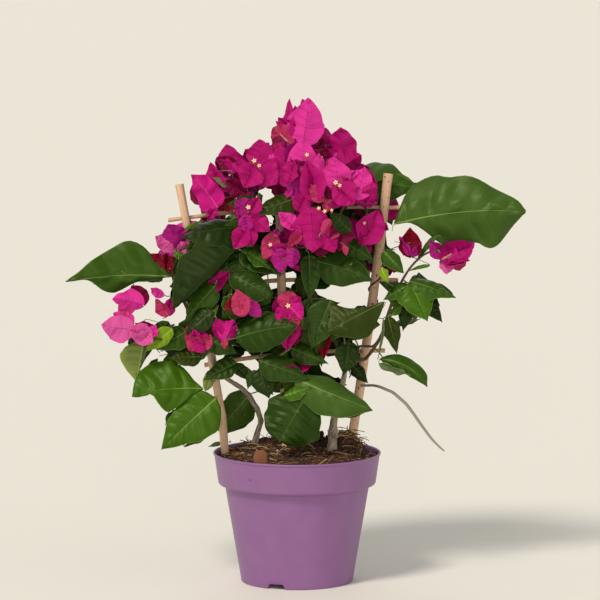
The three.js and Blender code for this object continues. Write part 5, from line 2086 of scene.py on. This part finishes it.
# %% Twig thickness and meshes
THINNEST, THICKEST = 0.36, 2.3
PIPE_POWER = 0.4
BROWN_FROM, ROUND_FROM = 0.9, 1.2  # radii from which a twig is brown, and has eight sides
SHORT_STALK = 16  # a stalk of fewer points than this may be left out
load = np.zeros(len(wood.points))
for root, row in wood.twigs:
    load[row[-1] if row else root] += 1
for index in range(len(load) - 1, -1, -1):
    if wood.parents[index] >= 0:
        load[wood.parents[index]] += load[index]
thickness = np.minimum(THINNEST * np.maximum(load, 1) ** PIPE_POWER, THICKEST)

twig_finishes = [brown_bark, furrowed_bark("green_brown_twig", "#77774a", "#4d4a30"),
                 *stalk_finishes, furrowed_bark("dead_tendril", "#4a3024", "#22140e")]
twig_batch = Batch("twigs", "bark", twig_finishes)
for root, row in wood.twigs:
    path = wood.points[[root] + row]
    before = path[:, 1] < nearest_blade[map_cells(path)] - 0.5
    if not row or (len(row) < SHORT_STALK and before[1:].mean() > 0.2):
        continue
    reach = thickness[[row[0]] + row]
    if reach.max() > BROWN_FROM:
        finish = "young_brown_bark"
    else:
        finish = "green_brown_twig" if len(path) > 5 else "green_stalk"
    tube(twig_batch, path, reach, 8 if reach.max() > ROUND_FROM else 5, finish, dome=0.3)

# %% [markdown]
# ### The tendril on the right cane
#
# A dead tendril winds round the right cane where the middle bar crosses it: a helix on the
# cane's own centre line, a little looser than the cane is thick.

# %% Tendril
TENDRIL_TOP, TENDRIL_DROP = 312, 38
TENDRIL_START, TENDRIL_TURNS = 0.15, 1.35
TENDRIL_LOOSE = 0.9
cane_way, cane_reach = centre_line("cane_right", UP, 60)
share = np.linspace(0, 1, 40)
height = TENDRIL_TOP - TENDRIL_DROP * share
middle = stack(*(np.interp(height, cane_way[:, 2], part) for part in cane_way.T))
angle = TURN * (TENDRIL_START - TENDRIL_TURNS * share)
round_cane = stack(np.cos(angle), np.sin(angle), 0 * angle)
tendril = middle + round_cane * (cane_reach[30] + TENDRIL_LOOSE)
reach = np.interp(share, [0, 0.2, 0.8, 1], [0.4, 0.8, 0.75, 0.4])
tube(twig_batch, tendril, reach, 6, "dead_tendril", dome=0.3)

# %% Join everything
leaf_batch.build(*leaf_nodes)
inner_leaf_batch.build()
bract_batch.build(*bloom_nodes)
inner_bract_batch.build()
flower_batch.build()
twig_batch.build()

# %% [markdown]
# ## Floor and light
#
# The floor is a pale sheet, so large that its far edge never shows. The light is a studio's: a
# surround that is bright near the horizon, a broad key from the upper left for the leaves' soft
# sheen, a soft front light, a weak fill from the right and a rim light from behind. The four are
# sun lamps with a wide angle: their strength doesn't fall off, so the floor stays even.

# %% Floor and light
FLOOR_RADIUS = 30.0
bpy.ops.mesh.primitive_circle_add(vertices=64, radius=FLOOR_RADIUS, fill_type="NGON")
floor = bpy.context.object
floor.name = "floor"
floor.data.materials.append(new_material("pale_paper", "#e4e1da", 0.9)[0])
floor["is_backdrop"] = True

world = bpy.data.worlds.new("studio")
bpy.context.scene.world = world
world.use_nodes = True
outlook = add(world.node_tree, "ShaderNodeTexCoord").outputs["Generated"]
height = add(world.node_tree, "ShaderNodeSeparateXYZ", links={"Vector": outlook}).outputs["Z"]
backdrop = add(world.node_tree, "ShaderNodeValToRGB", links={"Fac": height})
ramp(backdrop, [(0.0, "#ece6d8"), (0.16, "#ece6d8"), (0.4, "#a2a29e")])
surround = world.node_tree.nodes["Background"]
link(world.node_tree, surround, {"Color": backdrop})


def lamp(name, towards, strength, angle, colour="#ffffff"):
    """A sun lamp that shines along a direction, as wide as angle in degrees."""
    light = bpy.data.lights.new(name, "SUN")
    light.energy = strength
    light.angle = math.radians(angle)
    light.color = linear(colour)[:3]
    show(name, light).rotation_euler = Vector(towards).to_track_quat("-Z", "Y").to_euler()


lamp("key", (0.42, 0.62, -0.85), 2.15, 14, "#fff8ec")
lamp("front", (-0.02, 1.0, -0.14), 0.8, 30, "#fff6ec")
lamp("fill", (-0.8, 0.5, -0.3), 0.15, 70, "#f4f8ff")
lamp("rim", (0.1, -0.8, -0.7), 0.5, 50)

# %% [markdown]
# ## The finished box
#
# The box of the finished scene is printed in mm, as the frame's box was at the start. The looks
# may stand only a little proud of the construction.

# %% Sizes and finish
bpy.context.scene.view_settings.view_transform = "Standard"
low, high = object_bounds()
print("finished box, in mm:", [round(v / MM) for v in (*low, *high)])
